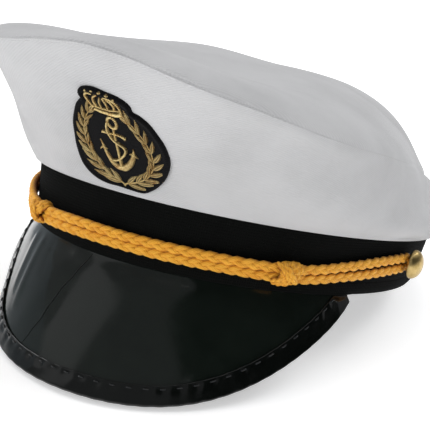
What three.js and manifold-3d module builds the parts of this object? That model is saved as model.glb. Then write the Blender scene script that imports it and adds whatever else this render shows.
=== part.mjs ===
// A soft white sailor cap: black band, glossy peak, gold cord with two knots, embroidered badge.
// Millimetres, +Z up. The front of the cap looks along -Y and the wearer's left is +X.
// The cap is modelled level, with the band's lower edge at height 0, and is then leant back
// until it rests on the peak's edge in front and on the band's lower edge behind.

import * as THREE from 'three';
import { mergeVertices } from 'three/addons/utils/BufferGeometryUtils.js';
import Module from 'manifold-3d';

const wasm = await Module();
wasm.setup();

const DEGREE = Math.PI / 180;

// Fit between pieces that touch
const CLEARANCE = 0.3;

// Band
const BAND_WIDTH = 168;
const BAND_LENGTH = 212;
const BAND_WALL = 2.2;
const BAND_HEIGHT = 23.6;
const BAND_FRONT_RISE = 2.4;
const BAND_FLARE = 3.6;
const BAND_TUCK = 5;
const REAR_FLAT_DEPTH = 1;

// Rest
const STEEPEST_LEAN = 40;

// Crown
const CROWN_WALL = 1.4;
const CROWN_OVERHANG = 3.2;
const CROWN_FLARE = 47.6;
const CROWN_RISE = 79;
const CROWN_BELLY = 13;
const CROWN_CREST = 85;
const CROWN_CENTRE_SETBACK = 10;
const TOP_ROLL = 5;
const TOP_ROLL_PLACE = 0.07;
const TOP_PUFF = 3;
const TOP_FADE = 6;
const FOOT_SETTLE = 0.08;

// The crown's sections at even angles from the front to the back, as shares of the cap's sizes: the band's
// flare, the seam's reach out from the band, the seam's height, the side wall's belly and the roll behind the seam.
// The slump says how low the belly hangs: below 1 it lies nearer to the band.
const CROWN_SECTIONS = [
  { spread: 0.35, reach: 1.0, rise: 1.0, belly: 0.1, slump: 0.6, roll: 0.4 },
  { spread: 0.4, reach: 0.96, rise: 0.9, belly: 0.12, slump: 0.6, roll: 0.5 },
  { spread: 0.6, reach: 0.6, rise: 0.8, belly: 0.24, slump: 0.6, roll: 0.5 },
  { spread: 0.85, reach: 0.31, rise: 0.75, belly: 0.42, slump: 0.62, roll: 0.25 },
  { spread: 1.0, reach: 0.05, rise: 0.71, belly: 0.58, slump: 0.66, roll: 0.0 },
  { spread: 1.0, reach: -0.1, rise: 0.68, belly: 0.7, slump: 0.7, roll: 0.0 },
  { spread: 0.9, reach: -0.11, rise: 0.67, belly: 0.68, slump: 0.76, roll: 0.0 },
  { spread: 0.8, reach: -0.06, rise: 0.68, belly: 0.6, slump: 0.82, roll: 0.0 },
  { spread: 0.7, reach: 0.0, rise: 0.69, belly: 0.52, slump: 0.86, roll: 0.0 },
  { spread: 0.7, reach: 0.02, rise: 0.69, belly: 0.5, slump: 0.86, roll: 0.0 },
];

// Where the soft seam strays from the even sections: angle and spread in degrees, reach and rise as shares
// of the crown's flare and rise.
const SEAM_SWELLS = [
  { angle: -45, spread: 22, reach: 0.09, rise: 0.15 },
  { angle: 112, spread: 26, reach: 0.03, rise: -0.06 },
];

// Soft dents in the side wall: angle in degrees, level between band and seam, depth as a share of the belly.
const SIDE_DENTS = [
  { angle: 74, level: 0.55, depth: 0.22, spread: 11, reach: 0.22 },
  { angle: -68, level: 0.35, depth: 0.12, spread: 14, reach: 0.3 },
  { angle: 128, level: 0.5, depth: 0.25, spread: 13, reach: 0.28 },
  { angle: -120, level: 0.45, depth: 0.28, spread: 15, reach: 0.3 },
  { angle: 168, level: 0.4, depth: 0.25, spread: 12, reach: 0.3 },
];

// Swells and dents in the top panel: place as shares of the band's half width and half length, height as a
// share of the crest's height over the seam, and reach as a share of the band's half width.
const TOP_SWELLS = [
  { across: -0.6, along: -1.12, height: 0.11, reach: 0.33 },
  { across: 0.15, along: -0.75, height: -0.25, reach: 0.35 },
  { across: -0.3, along: 0.25, height: 0.02, reach: 0.4 },
  { across: 0.42, along: 0.2, height: -0.19, reach: 0.22 },
  { across: 0.3, along: 0.75, height: 0.17, reach: 0.35 },
  { across: -0.5, along: 0.6, height: -0.12, reach: 0.25 },
  { across: 0.75, along: 0.5, height: 0.16, reach: 0.3 },
  { across: -0.25, along: -0.25, height: 0.07, reach: 0.35 },
];

// Peak
const PEAK_DROP = 52.6;
const PEAK_HALF_ANGLE = 64.5;
const PEAK_WALL = 1.5;
const PEAK_BOW = 1.6;
const PEAK_SLOPE = 65.2;
const PEAK_SIDE_SLOPE = 33;
const PEAK_END_SLOPE = -43.6;
const PEAK_ROUNDNESS = 3.1;
const PEAK_SIDE_LOSS = 0.5;
const PEAK_END_SHARE = 0.97;
const BINDING_WIDTH = 7.5;
const BINDING_WALL = 1;

// Cord and knots
const CORD_DIAMETER = 3.9;
const CORD_HEIGHT = 8.3;
const KNOT_WRAP = 2.2;
const KNOT_LENGTH = 11;
const KNOT_TURNS = 3;
const KNOT_SLACK = 0.25;
const KNOT_END_SHARE = 0.35;
const KNOT_ROUNDNESS = 0.7;
const KNOT_GROOVE = 0.22;
const KNOT_BACK_SHARE = 0.5;
const KNOT_LEFT_ANGLE = 42.5;
const KNOT_RIGHT_ANGLE = -27.5;

// The strands' route along the band, from the wearer's right to the wearer's left: angle in degrees, the height
// of the pair over its front, each strand's height over or under the pair, and the pair's lift off the band.
const CORD_ROUTE = [
  { angle: -81.1, rise: 5.8, upper: 2.2, lower: -2.2, lift: 0.0 },
  { angle: -64, rise: 3.8, upper: 2.4, lower: -2.3, lift: 0.1 },
  { angle: -44, rise: 1.2, upper: 2.2, lower: -2.2, lift: 1.4 },
  { angle: -33.5, rise: 0.2, upper: 2.15, lower: -2.15, lift: 3.1 },
  { angle: -27.5, rise: -0.2, upper: 2.15, lower: -2.15, lift: 3.2 },
  { angle: -21.5, rise: -0.2, upper: 2.15, lower: -2.15, lift: 3.1 },
  { angle: -13, rise: 0.0, upper: 2.2, lower: -2.2, lift: 1.2 },
  { angle: -5, rise: 0.0, upper: 2.3, lower: -2.2, lift: 0.1 },
  { angle: 7, rise: 0.0, upper: 2.6, lower: -2.0, lift: 0.1 },
  { angle: 18, rise: 0.0, upper: 2.2, lower: -2.2, lift: 0.2 },
  { angle: 29, rise: 0.0, upper: 2.2, lower: -2.2, lift: 1.6 },
  { angle: 36.5, rise: 0.0, upper: 2.15, lower: -2.15, lift: 3.1 },
  { angle: 42.5, rise: 0.1, upper: 2.15, lower: -2.15, lift: 3.2 },
  { angle: 48.5, rise: 0.5, upper: 2.15, lower: -2.15, lift: 3.1 },
  { angle: 58, rise: 2.2, upper: 2.4, lower: -2.3, lift: 1.0 },
  { angle: 70, rise: 4.4, upper: 2.9, lower: -2.7, lift: 0.1 },
  { angle: 81.1, rise: 6.0, upper: 2.2, lower: -2.2, lift: 0.0 },
];

// Buttons
const BUTTON_ANGLE = 83;
const BUTTON_DIAMETER = 12.6;
const BUTTON_DOME = 4.2;
const BUTTON_SHANK = 3.2;
const BUTTON_RIM = 1;
const BUTTON_RIM_STEP = 0.04;
const BUTTON_TURNS = 20;

// Badge
const BADGE_HEIGHT = 47;
const BADGE_WIDTH = 39.5;
const BADGE_FOOT = 2;
const BADGE_SHIFT = 2.5;
const BADGE_GAP = 0.5;
const FELT_WALL = 1.6;
const EMBROIDERY_RAISE = 1.1;
const LEAVES_PER_BRANCH = 12;
const LEAF_LENGTH = 7.4;
const LEAF_WIDTH = 2.6;
const STEM_WIDTH = 1.3;

// Motifs of the badge, as shares of its height or, for widths, of its width. Turns and leans are in degrees.
const BACKING_MIDDLE = 0.45;
const WREATH = { start: -78, end: 52, halfWidth: 0.34, halfHeight: 0.33, middle: 0.41 };
const LEAF_TURN = 32;
const LEAF_TIP_SIZE = 0.72;
const ANCHOR = { foot: 0.2, head: 0.62, arm: 0.17, stock: 0.13, stockDrop: 0.068, armStart: 100, armEnd: 260 };
const ANCHOR_RING_TURN = 172;
const ANCHOR_LINE = 1.4;
const ANCHOR_RING = 1.7;
const ANCHOR_RING_LINE = 1;
const ANCHOR_FLUKE = 3.4;
const BADGE_CROWN = { base: 0.8, halfWidth: 0.2, height: 0.12, lean: 22, line: 1.8, leafWidth: 3, arch: 0.15 };

// A leaf's rim and its two raised points: along its length and across its width, as shares of them.
const LEAF_RIM = [
  { along: 0, across: 0 },
  { along: 0.35, across: 0.5 },
  { along: 0.7, across: 0.38 },
  { along: 1, across: 0 },
  { along: 0.7, across: -0.38 },
  { along: 0.35, across: -0.5 },
];
const LEAF_RIDGE = [{ along: 0.3, raise: 1 }, { along: 0.72, raise: 0.85 }];

// The badge's right-hand outline from its foot to its top, as shares of half its width and of its height.
const BADGE_OUTLINE = [
  { across: 0.0, along: 0.0 },
  { across: 0.42, along: 0.03 },
  { across: 0.8, along: 0.15 },
  { across: 1.0, along: 0.36 },
  { across: 0.94, along: 0.57 },
  { across: 0.7, along: 0.72 },
  { across: 0.55, along: 0.8 },
  { across: 0.6, along: 0.9 },
  { across: 0.4, along: 0.98 },
  { across: 0.0, along: 1.0 },
];

// Mesh fineness
const RING_STEPS = 64;
const WALL_ROWS = 7;
const ROLL_ROWS = 3;
const TOP_ROWS = 7;
const TOP_ROW_CROWDING = 1.25;
const PEAK_STEPS = 34;
const PEAK_ROWS = 4;
const CORD_SIDES = 8;
const KNOT_SIDES = 14;
const CORD_STEPS = 42;

const MATERIALS = {
  whiteCloth: { color: 0xd9dadd, roughness: 0.85, metalness: 0 },
  blackCloth: { color: 0x17181b, roughness: 0.9, metalness: 0 },
  glossyVinyl: { color: 0x0c100e, roughness: 0.12, metalness: 0 },
  goldCord: { color: 0xf0aa32, roughness: 0.6, metalness: 0 },
  brass: { color: 0xd9b45a, roughness: 0.25, metalness: 1 },
  felt: { color: 0x0d0c0d, roughness: 1, metalness: 0 },
  goldThread: { color: 0xb08d4c, roughness: 0.45, metalness: 0.5 },
};

// Smooth value of a column of a table whose rows stand at even steps; place runs from 0 to 1.
// The table is mirrored past its ends, as the cap's left and right halves are.
function smoothColumn(rows, column, place) {
  const last = rows.length - 1;
  const scaled = THREE.MathUtils.clamp(place, 0, 1) * last;
  const row = Math.min(Math.floor(scaled), last - 1);
  const value = (index) => rows[last - Math.abs(last - Math.abs(index))][column];
  return catmullRom(value(row - 1), value(row), value(row + 1), value(row + 2), scaled - row);
}

function catmullRom(before, start, end, after, t) {
  const startSlope = (end - before) / 2;
  const endSlope = (after - start) / 2;
  const bend = 2 * start - 2 * end + startSlope + endSlope;
  const curve = -3 * start + 3 * end - 2 * startSlope - endSlope;
  return ((bend * t + curve) * t + startSlope) * t + start;
}

// Smooth value of a column of a table whose rows stand at their own angles.
function columnAtAngle(rows, column, angle) {
  const last = rows.length - 1;
  let row = 0;
  while (row < last - 1 && rows[row + 1].angle < angle) {
    row += 1;
  }
  const value = (index) => rows[THREE.MathUtils.clamp(index, 0, last)][column];
  const t = (angle - rows[row].angle) / (rows[row + 1].angle - rows[row].angle);
  return catmullRom(value(row - 1), value(row), value(row + 1), value(row + 2), THREE.MathUtils.clamp(t, 0, 1));
}

// Difference of two angles in degrees, between -180 and 180
function angleBetween(first, second) {
  return THREE.MathUtils.euclideanModulo(first - second + 180, 360) - 180;
}

function bump(distance, reach) {
  return Math.exp(-((distance / reach) ** 2));
}

// Direction that faces straight out of the band's oval at an angle in degrees from the front
function bandNormal(angle) {
  const turn = angle * DEGREE;
  return new THREE.Vector3(Math.sin(turn) / BAND_WIDTH, -Math.cos(turn) / BAND_LENGTH, 0).normalize();
}

// Point out from the oval of the band's lower edge, and up from it
function ovalPoint(angle, outward, up) {
  const turn = angle * DEGREE;
  const onOval = new THREE.Vector3(Math.sin(turn) * BAND_WIDTH / 2, -Math.cos(turn) * BAND_LENGTH / 2, up);
  return onOval.addScaledVector(bandNormal(angle), outward);
}

// Height at which the crown rolls over the band
function bandTop(angle) {
  return BAND_HEIGHT + BAND_FRONT_RISE * Math.cos(angle * DEGREE);
}

function crownSection(angle, column) {
  return smoothColumn(CROWN_SECTIONS, column, Math.abs(angleBetween(angle, 0)) / 180);
}

// How far the band has widened at a height over its lower edge
function bandSpread(angle, up) {
  const share = THREE.MathUtils.clamp(up / bandTop(angle), 0, 1);
  return BAND_FLARE * crownSection(angle, 'spread') * share;
}

// Point out from the band's outer face, at a height over its lower edge
function bandPoint(angle, outward, up) {
  return ovalPoint(angle, outward + bandSpread(angle, up), up);
}

function seamShare(angle, column) {
  return SEAM_SWELLS.reduce((share, swell) => {
    return share + swell[column] * bump(angleBetween(angle, swell.angle), swell.spread);
  }, crownSection(angle, column));
}

function seamReach(angle) {
  return CROWN_FLARE * seamShare(angle, 'reach');
}

function seamHeight(angle) {
  return CROWN_RISE * seamShare(angle, 'rise');
}

function seamPoint(angle) {
  return ovalPoint(angle, seamReach(angle), seamHeight(angle));
}

// Side wall between the roll over the band, at level 0, and the seam, at level 1
function wallPoint(angle, level) {
  const rollRadius = CROWN_OVERHANG / 2;
  const foot = bandTop(angle) + rollRadius;
  const lean = level - FOOT_SETTLE * (1 - Math.exp(-level / FOOT_SETTLE)) * (1 - level);
  const slumped = level ** crownSection(angle, 'slump');
  const belly = CROWN_BELLY * crownSection(angle, 'belly') * Math.sin(Math.PI * slumped);
  const dents = SIDE_DENTS.reduce((depth, dent) => {
    const sideways = bump(angleBetween(angle, dent.angle), dent.spread);
    return depth + CROWN_BELLY * dent.depth * sideways * bump(level - dent.level, dent.reach);
  }, 0);
  const start = bandSpread(angle, foot) + CROWN_OVERHANG;
  const outward = THREE.MathUtils.lerp(start, seamReach(angle), lean) + belly;
  const fade = Math.sin(Math.PI * level);
  return ovalPoint(angle, outward - dents * fade, THREE.MathUtils.lerp(foot, seamHeight(angle), level));
}

// Lower edge of the side wall, which curls from the band's face down, out and up: turn runs from 0 to 1
function rollPoint(angle, turn) {
  const radius = CROWN_OVERHANG / 2;
  const sweep = Math.PI * (1 + turn);
  const middle = radius + CLEARANCE * (1 - turn);
  const outward = middle + radius * Math.cos(sweep);
  return bandPoint(angle, outward, bandTop(angle) + radius * (1 + Math.sin(sweep)));
}

// The whole side wall: travel runs from -1 at the band, over 0 where the roll ends, to 1 at the seam.
function crownSidePoint(angle, travel) {
  return travel < 0 ? rollPoint(angle, travel + 1) : wallPoint(angle, travel);
}

// Top panel: inward runs from 0 at the seam to 1 at the middle.
function crownTopPoint(angle, inward) {
  const seam = seamPoint(angle);
  const middle = new THREE.Vector3(0, CROWN_CENTRE_SETBACK, CROWN_CREST);
  const point = seam.clone().lerp(middle, inward);
  const rise = 1 - (1 - inward) ** TOP_PUFF;
  point.z = THREE.MathUtils.lerp(seam.z, CROWN_CREST, rise);
  const roll = (inward / TOP_ROLL_PLACE) * Math.exp(1 - inward / TOP_ROLL_PLACE);
  point.z += TOP_ROLL * crownSection(angle, 'roll') * roll;
  const fade = 1 - (1 - inward) ** TOP_FADE;
  for (const swell of TOP_SWELLS) {
    const across = (point.x - swell.across * BAND_WIDTH / 2) / (BAND_WIDTH / 2);
    const along = (point.y - swell.along * BAND_LENGTH / 2) / (BAND_WIDTH / 2);
    const height = swell.height * (CROWN_CREST - CROWN_RISE * CROWN_SECTIONS.at(-1).rise);
    point.z += height * fade * bump(Math.hypot(across, along), swell.reach);
  }
  return point;
}

// Outward normal of a surface given by a function of two values
function surfaceNormal(surface, u, v, uStep, vStep) {
  const alongU = surface(u + uStep, v).sub(surface(u - uStep, v));
  const alongV = surface(u, v + vStep).sub(surface(u, v - vStep));
  return alongU.cross(alongV).normalize();
}

function crownSideNormal(angle, travel) {
  const inside = THREE.MathUtils.clamp(travel, -0.99, 0.99);
  return surfaceNormal(crownSidePoint, angle, inside, 0.5, 0.01);
}

function crownTopNormal(angle, inward) {
  const inside = THREE.MathUtils.clamp(inward, 0.005, 0.97);
  return surfaceNormal(crownTopPoint, angle, inside, 0.5, 0.005);
}

// Way from the outer to the inner edge of the cloth at the seam, where side wall and top panel meet on a mitre
function seamMitre(angle) {
  const sideNormal = crownSideNormal(angle, 1);
  const middle = sideNormal.clone().add(crownTopNormal(angle, 0)).normalize();
  return middle.multiplyScalar(-CROWN_WALL / Math.max(middle.dot(sideNormal), 0.5));
}

function evenSteps(count, start, end) {
  return Array.from({ length: count + 1 }, (_, index) => THREE.MathUtils.lerp(start, end, index / count));
}

function ringAngles(count) {
  return evenSteps(count, -180, 180).slice(0, count);
}

function geometryFrom(points, triangles) {
  const geometry = new THREE.BufferGeometry();
  geometry.setAttribute('position', new THREE.Float32BufferAttribute(points.flatMap((p) => p.toArray()), 3));
  geometry.setIndex(triangles.flat());
  return geometry;
}

// Closed sheet between an outer and an inner grid of points. Each grid is a list of columns of equal length.
// Columns run to the right and points run upwards as the sheet is seen from outside.
function sheetGeometry(outer, inner, closed) {
  const columns = outer.length;
  const rows = outer[0].length;
  const points = [...outer.flat(), ...inner.flat()];
  const outerAt = (column, row) => (column % columns) * rows + row;
  const innerAt = (column, row) => columns * rows + outerAt(column, row);
  const triangles = [];
  const quad = (a, b, c, d) => triangles.push([a, b, c], [a, c, d]);
  const spans = closed ? columns : columns - 1;
  for (let column = 0; column < spans; column += 1) {
    const next = column + 1;
    for (let row = 0; row < rows - 1; row += 1) {
      quad(outerAt(column, row), outerAt(next, row), outerAt(next, row + 1), outerAt(column, row + 1));
      quad(innerAt(column, row), innerAt(column, row + 1), innerAt(next, row + 1), innerAt(next, row));
    }
    quad(innerAt(column, 0), innerAt(next, 0), outerAt(next, 0), outerAt(column, 0));
    quad(outerAt(column, rows - 1), outerAt(next, rows - 1), innerAt(next, rows - 1), innerAt(column, rows - 1));
  }
  if (!closed) {
    for (let row = 0; row < rows - 1; row += 1) {
      quad(innerAt(0, row), outerAt(0, row), outerAt(0, row + 1), innerAt(0, row + 1));
      const end = columns - 1;
      quad(outerAt(end, row), innerAt(end, row), innerAt(end, row + 1), outerAt(end, row + 1));
    }
  }
  return geometryFrom(points, triangles);
}

// Closed plate between two polar grids that share their middle points
function domeGeometry(outer, inner, outerMiddle, innerMiddle) {
  const columns = outer.length;
  const rows = outer[0].length;
  const points = [...outer.flat(), ...inner.flat(), outerMiddle, innerMiddle];
  const outerAt = (column, row) => (column % columns) * rows + row;
  const innerAt = (column, row) => columns * rows + outerAt(column, row);
  const outerTip = 2 * columns * rows;
  const innerTip = outerTip + 1;
  const triangles = [];
  const quad = (a, b, c, d) => triangles.push([a, b, c], [a, c, d]);
  for (let column = 0; column < columns; column += 1) {
    const next = column + 1;
    for (let row = 0; row < rows - 1; row += 1) {
      quad(outerAt(column, row), outerAt(next, row), outerAt(next, row + 1), outerAt(column, row + 1));
      quad(innerAt(column, row), innerAt(column, row + 1), innerAt(next, row + 1), innerAt(next, row));
    }
    quad(innerAt(column, 0), innerAt(next, 0), outerAt(next, 0), outerAt(column, 0));
    triangles.push([outerAt(column, rows - 1), outerAt(next, rows - 1), outerTip]);
    triangles.push([innerAt(next, rows - 1), innerAt(column, rows - 1), innerTip]);
  }
  return geometryFrom(points, triangles);
}

function mesh(name, geometry, finish) {
  const solid = new THREE.Mesh(geometry, new THREE.MeshStandardMaterial(finish));
  solid.name = name;
  return solid;
}

// Crown
function crownSide() {
  const travels = [...evenSteps(ROLL_ROWS, -1, 0).slice(0, -1), ...evenSteps(WALL_ROWS, 0, 1)];
  const outer = [];
  const inner = [];
  for (const angle of ringAngles(RING_STEPS)) {
    const column = travels.map((travel) => crownSidePoint(angle, travel));
    const inside = travels.map((travel, row) => {
      const way = crownSideNormal(angle, travel).multiplyScalar(-CROWN_WALL);
      return column[row].clone().add(travel === 1 ? seamMitre(angle) : way);
    });
    column.at(-1).z -= CLEARANCE / 2;
    inside.at(-1).z -= CLEARANCE / 2;
    outer.push(column);
    inner.push(inside);
  }
  return mesh('crown_side', sheetGeometry(outer, inner, true), MATERIALS.whiteCloth);
}

function crownTop() {
  const inwards = evenSteps(TOP_ROWS, 0, 1).slice(0, -1).map((share) => share ** TOP_ROW_CROWDING);
  const outer = [];
  const inner = [];
  for (const angle of ringAngles(RING_STEPS)) {
    const column = inwards.map((inward) => crownTopPoint(angle, inward));
    const inside = inwards.map((inward, row) => {
      const way = crownTopNormal(angle, inward).multiplyScalar(-CROWN_WALL);
      return column[row].clone().add(inward === 0 ? seamMitre(angle) : way);
    });
    column[0].z += CLEARANCE / 2;
    inside[0].z += CLEARANCE / 2;
    outer.push(column);
    inner.push(inside);
  }
  const middle = crownTopPoint(0, 1);
  const under = middle.clone().add(new THREE.Vector3(0, 0, -CROWN_WALL));
  return mesh('crown_top', domeGeometry(outer, inner, middle, under), MATERIALS.whiteCloth);
}

// Band: its lower edge is pressed flat where the cap rests on it, which floorHeight gives.
function band(floorHeight) {
  const outer = [];
  const inner = [];
  for (const angle of ringAngles(RING_STEPS)) {
    const heights = [0, bandTop(angle), bandTop(angle) + BAND_TUCK];
    const column = (outward) => heights.map((height) => {
      const point = bandPoint(angle, outward, height);
      point.z = Math.max(point.z, floorHeight(point.y));
      return point;
    });
    outer.push(column(0));
    inner.push(column(-BAND_WALL));
  }
  return mesh('band', sheetGeometry(outer, inner, true), MATERIALS.blackCloth);
}

// Share of the way from the peak's middle, at 0, to its ends, at 1
function peakShare(angle) {
  return Math.abs(angle) / (PEAK_HALF_ANGLE / PEAK_END_SHARE);
}

function peakReach(angle) {
  const share = peakShare(angle);
  return PEAK_DROP * (1 - share ** PEAK_ROUNDNESS) * (1 - PEAK_SIDE_LOSS * share ** 2);
}

// Direction in which the peak hangs from the band
function peakFall(angle) {
  const share = peakShare(angle);
  const slope = (PEAK_SLOPE + PEAK_SIDE_SLOPE * share ** 2 + PEAK_END_SLOPE * share ** 4) * DEGREE;
  const fall = bandNormal(angle).multiplyScalar(Math.cos(slope));
  fall.z = -Math.sin(slope);
  return fall;
}

// Point on the peak's outer face: down runs in millimetres from the band to the peak's edge.
function peakPoint(angle, down) {
  const bow = PEAK_BOW * Math.sin(Math.PI * down / peakReach(0));
  const point = bandPoint(angle, 0, -CLEARANCE).addScaledVector(peakFall(angle), down);
  return point.addScaledVector(peakFacing(angle), Math.max(bow, 0));
}

function peakFacing(angle) {
  const fall = peakFall(angle);
  const outward = bandNormal(angle);
  return outward.addScaledVector(fall, -outward.dot(fall)).normalize();
}

function peak() {
  const outer = [];
  const inner = [];
  for (const angle of evenSteps(PEAK_STEPS, -PEAK_HALF_ANGLE, PEAK_HALF_ANGLE)) {
    const downs = evenSteps(PEAK_ROWS, peakReach(angle), 0);
    const column = downs.map((down) => peakPoint(angle, down));
    const facing = peakFacing(angle);
    outer.push(column);
    inner.push(column.map((point) => point.clone().addScaledVector(facing, -PEAK_WALL)));
  }
  return mesh('peak', sheetGeometry(outer, inner, false), MATERIALS.glossyVinyl);
}

// Binding: a strip folded round the peak's edge, drawn as a section that runs along the edge
function peakBinding() {
  const near = CLEARANCE;
  const far = CLEARANCE + BINDING_WALL;
  const columns = [];
  for (const angle of evenSteps(PEAK_STEPS, -PEAK_HALF_ANGLE, PEAK_HALF_ANGLE)) {
    const reach = peakReach(angle);
    const flap = Math.min(BINDING_WIDTH, reach - BINDING_WALL);
    const section = [
      [-flap, far],
      [near, far],
      [far, near],
      [far, -PEAK_WALL - near],
      [near, -PEAK_WALL - far],
      [-flap, -PEAK_WALL - far],
      [-flap, -PEAK_WALL - near],
      [near, -PEAK_WALL - near],
      [near, near],
      [-flap, near],
    ];
    const facing = peakFacing(angle);
    const edge = peakPoint(angle, reach);
    const top = peakPoint(angle, reach - flap);
    const along = edge.clone().sub(top).normalize();
    columns.push(section.map(([out, lift]) => {
      return edge.clone().addScaledVector(along, out).addScaledVector(facing, lift);
    }));
  }
  return mesh('peak_binding', sweptGeometry(columns), MATERIALS.glossyVinyl);
}

// Closed body through a row of sections of equal length, whose ends are capped
function sweptGeometry(sections) {
  const corners = sections[0].length;
  const points = sections.flat();
  const triangles = [];
  for (let step = 0; step < sections.length - 1; step += 1) {
    for (let corner = 0; corner < corners; corner += 1) {
      const next = (corner + 1) % corners;
      const a = step * corners + corner;
      const b = step * corners + next;
      const c = b + corners;
      const d = a + corners;
      triangles.push([a, b, c], [a, c, d]);
    }
  }
  for (const [start, outward] of [[0, false], [(sections.length - 1) * corners, true]]) {
    for (const face of capFaces(sections[start / corners])) {
      const cap = face.map((corner) => start + corner);
      triangles.push(outward ? cap : cap.reverse());
    }
  }
  return geometryFrom(points, triangles);
}

// Triangles over a flat section that may be hollowed, in the section's own order
function capFaces(section) {
  const normal = new THREE.Vector3();
  section.forEach((point, index) => {
    normal.add(point.clone().cross(section[(index + 1) % section.length]));
  });
  normal.normalize();
  const right = section[1].clone().sub(section[0]).normalize();
  const up = normal.clone().cross(right);
  const flat = section.map((point) => new THREE.Vector2(point.dot(right), point.dot(up)));
  return THREE.ShapeUtils.triangulateShape(flat, []);
}

function pairHeight(angle) {
  return CORD_HEIGHT + columnAtAngle(CORD_ROUTE, 'rise', angle);
}

function cordPoint(strand, angle) {
  const lift = CLEARANCE + CORD_DIAMETER / 2 + columnAtAngle(CORD_ROUTE, 'lift', angle);
  return bandPoint(angle, lift, pairHeight(angle) + columnAtAngle(CORD_ROUTE, strand, angle));
}

// One strand of the cord, as a round section swept along its route
function cordStrand(strand) {
  const ends = CORD_ROUTE.at(-1).angle;
  const sections = evenSteps(CORD_STEPS, -ends, ends).map((angle) => {
    const middle = cordPoint(strand, angle);
    const along = cordPoint(strand, Math.min(angle + 0.5, ends));
    along.sub(cordPoint(strand, Math.max(angle - 0.5, -ends))).normalize();
    const outward = bandNormal(angle);
    outward.addScaledVector(along, -outward.dot(along)).normalize();
    const upward = outward.clone().cross(along);
    return evenSteps(CORD_SIDES, 0, 2 * Math.PI).slice(0, -1).map((turn) => {
      const side = middle.clone().addScaledVector(outward, Math.cos(turn) * CORD_DIAMETER / 2);
      return side.addScaledVector(upward, -Math.sin(turn) * CORD_DIAMETER / 2);
    });
  });
  return mesh(`cord_${strand}`, sweptGeometry(sections), MATERIALS.goldCord);
}

// Knot: wraps of cord round both strands, as one ring whose long round bore clears them
function knot(name, centreAngle) {
  const upper = cordPoint('upper', centreAngle);
  const lower = cordPoint('lower', centreAngle);
  const middle = upper.clone().lerp(lower, 0.5);
  const halfSpacing = upper.distanceTo(lower) / 2;
  const outward = bandNormal(centreAngle);
  const along = new THREE.Vector3(0, 0, 1).cross(outward).normalize();
  const bore = CORD_DIAMETER / 2 + CLEARANCE + KNOT_SLACK;
  const places = evenSteps(KNOT_TURNS * 3, 0, 1);
  const ring = evenSteps(KNOT_SIDES, 0, -2 * Math.PI).slice(0, -1);
  const columnAt = (turn, thickness) => places.map((place) => {
    const radius = bore + thickness(place, turn);
    const point = middle.clone().addScaledVector(outward, Math.cos(turn) * radius);
    point.z += Math.sin(turn) * radius + Math.sign(Math.round(Math.sin(turn) * 100)) * halfSpacing;
    return point.addScaledVector(along, (place - 0.5) * KNOT_LENGTH);
  });
  const wrapThickness = (place, turn) => {
    const round = Math.sin(Math.PI * place) ** KNOT_ROUNDNESS;
    const swell = THREE.MathUtils.lerp(KNOT_END_SHARE, 1, round);
    const groove = 1 - KNOT_GROOVE * Math.cos(place * KNOT_TURNS * 2 * Math.PI);
    const behind = Math.cos(turn) < 0 ? KNOT_BACK_SHARE : 1;
    return KNOT_WRAP * swell * groove * behind;
  };
  const outer = ring.map((turn) => columnAt(turn, wrapThickness));
  const inner = ring.map((turn) => columnAt(turn, () => 0));
  return mesh(name, sheetGeometry(outer, inner, true), MATERIALS.goldCord);
}

// Button: a domed cap on a shank that stands on the band
function button(name, angle) {
  const radius = BUTTON_DIAMETER / 2;
  const domeRadius = radius * (1 - BUTTON_RIM_STEP);
  const underside = CORD_DIAMETER + CLEARANCE * 3;
  const profile = [
    [0, CLEARANCE],
    [BUTTON_SHANK / 2, CLEARANCE],
    [BUTTON_SHANK / 2, underside],
    [radius * (1 - 2 * BUTTON_RIM_STEP), underside],
    [radius, underside + BUTTON_RIM / 2],
    [domeRadius, underside + BUTTON_RIM],
  ].map(([out, up]) => new THREE.Vector2(out, up));
  for (const turn of evenSteps(5, 0, 1).slice(1)) {
    const sweep = turn * Math.PI / 2;
    const height = underside + BUTTON_RIM + BUTTON_DOME * Math.sin(sweep);
    profile.push(new THREE.Vector2(domeRadius * Math.cos(sweep), height));
  }
  profile.at(-1).x = 0;
  const geometry = new THREE.LatheGeometry(profile, BUTTON_TURNS);
  geometry.deleteAttribute('normal');
  geometry.deleteAttribute('uv');
  const dome = mesh(name, mergeVertices(geometry, 0.001), MATERIALS.brass);
  dome.position.copy(bandPoint(angle, 0, pairHeight(angle)));
  dome.quaternion.setFromUnitVectors(new THREE.Vector3(0, 1, 0), bandNormal(angle));
  return dome;
}

// Badge: a point given flat on the badge, across to the wearer's left and up from its foot, lies on the
// crown's front with a lift off the cloth.
function badgePoint(across, along, lift) {
  const start = wallPoint(0, 0);
  const slant = wallPoint(0, 1).distanceTo(start);
  const level = (BADGE_FOOT + along) / slant;
  const perDegree = (wallPoint(1, level).x - wallPoint(-1, level).x) / 2;
  const angle = (across + BADGE_SHIFT) / perDegree;
  return wallPoint(angle, level).addScaledVector(crownSideNormal(angle, level), BADGE_GAP + lift);
}

// Plate over a flat closed outline, bent onto the crown's front between two lifts
function badgePlate(outline, middle, rings, low, high) {
  const bend = (x, y, lift) => badgePoint(x, y, lift);
  const shares = evenSteps(rings, 0, 1).slice(0, -1);
  const grid = (lift) => outline.map(([x, y]) => shares.map((share) => {
    return bend(THREE.MathUtils.lerp(x, middle[0], share), THREE.MathUtils.lerp(y, middle[1], share), lift);
  }));
  return domeGeometry(grid(high), grid(low), bend(...middle, high), bend(...middle, low));
}

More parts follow.
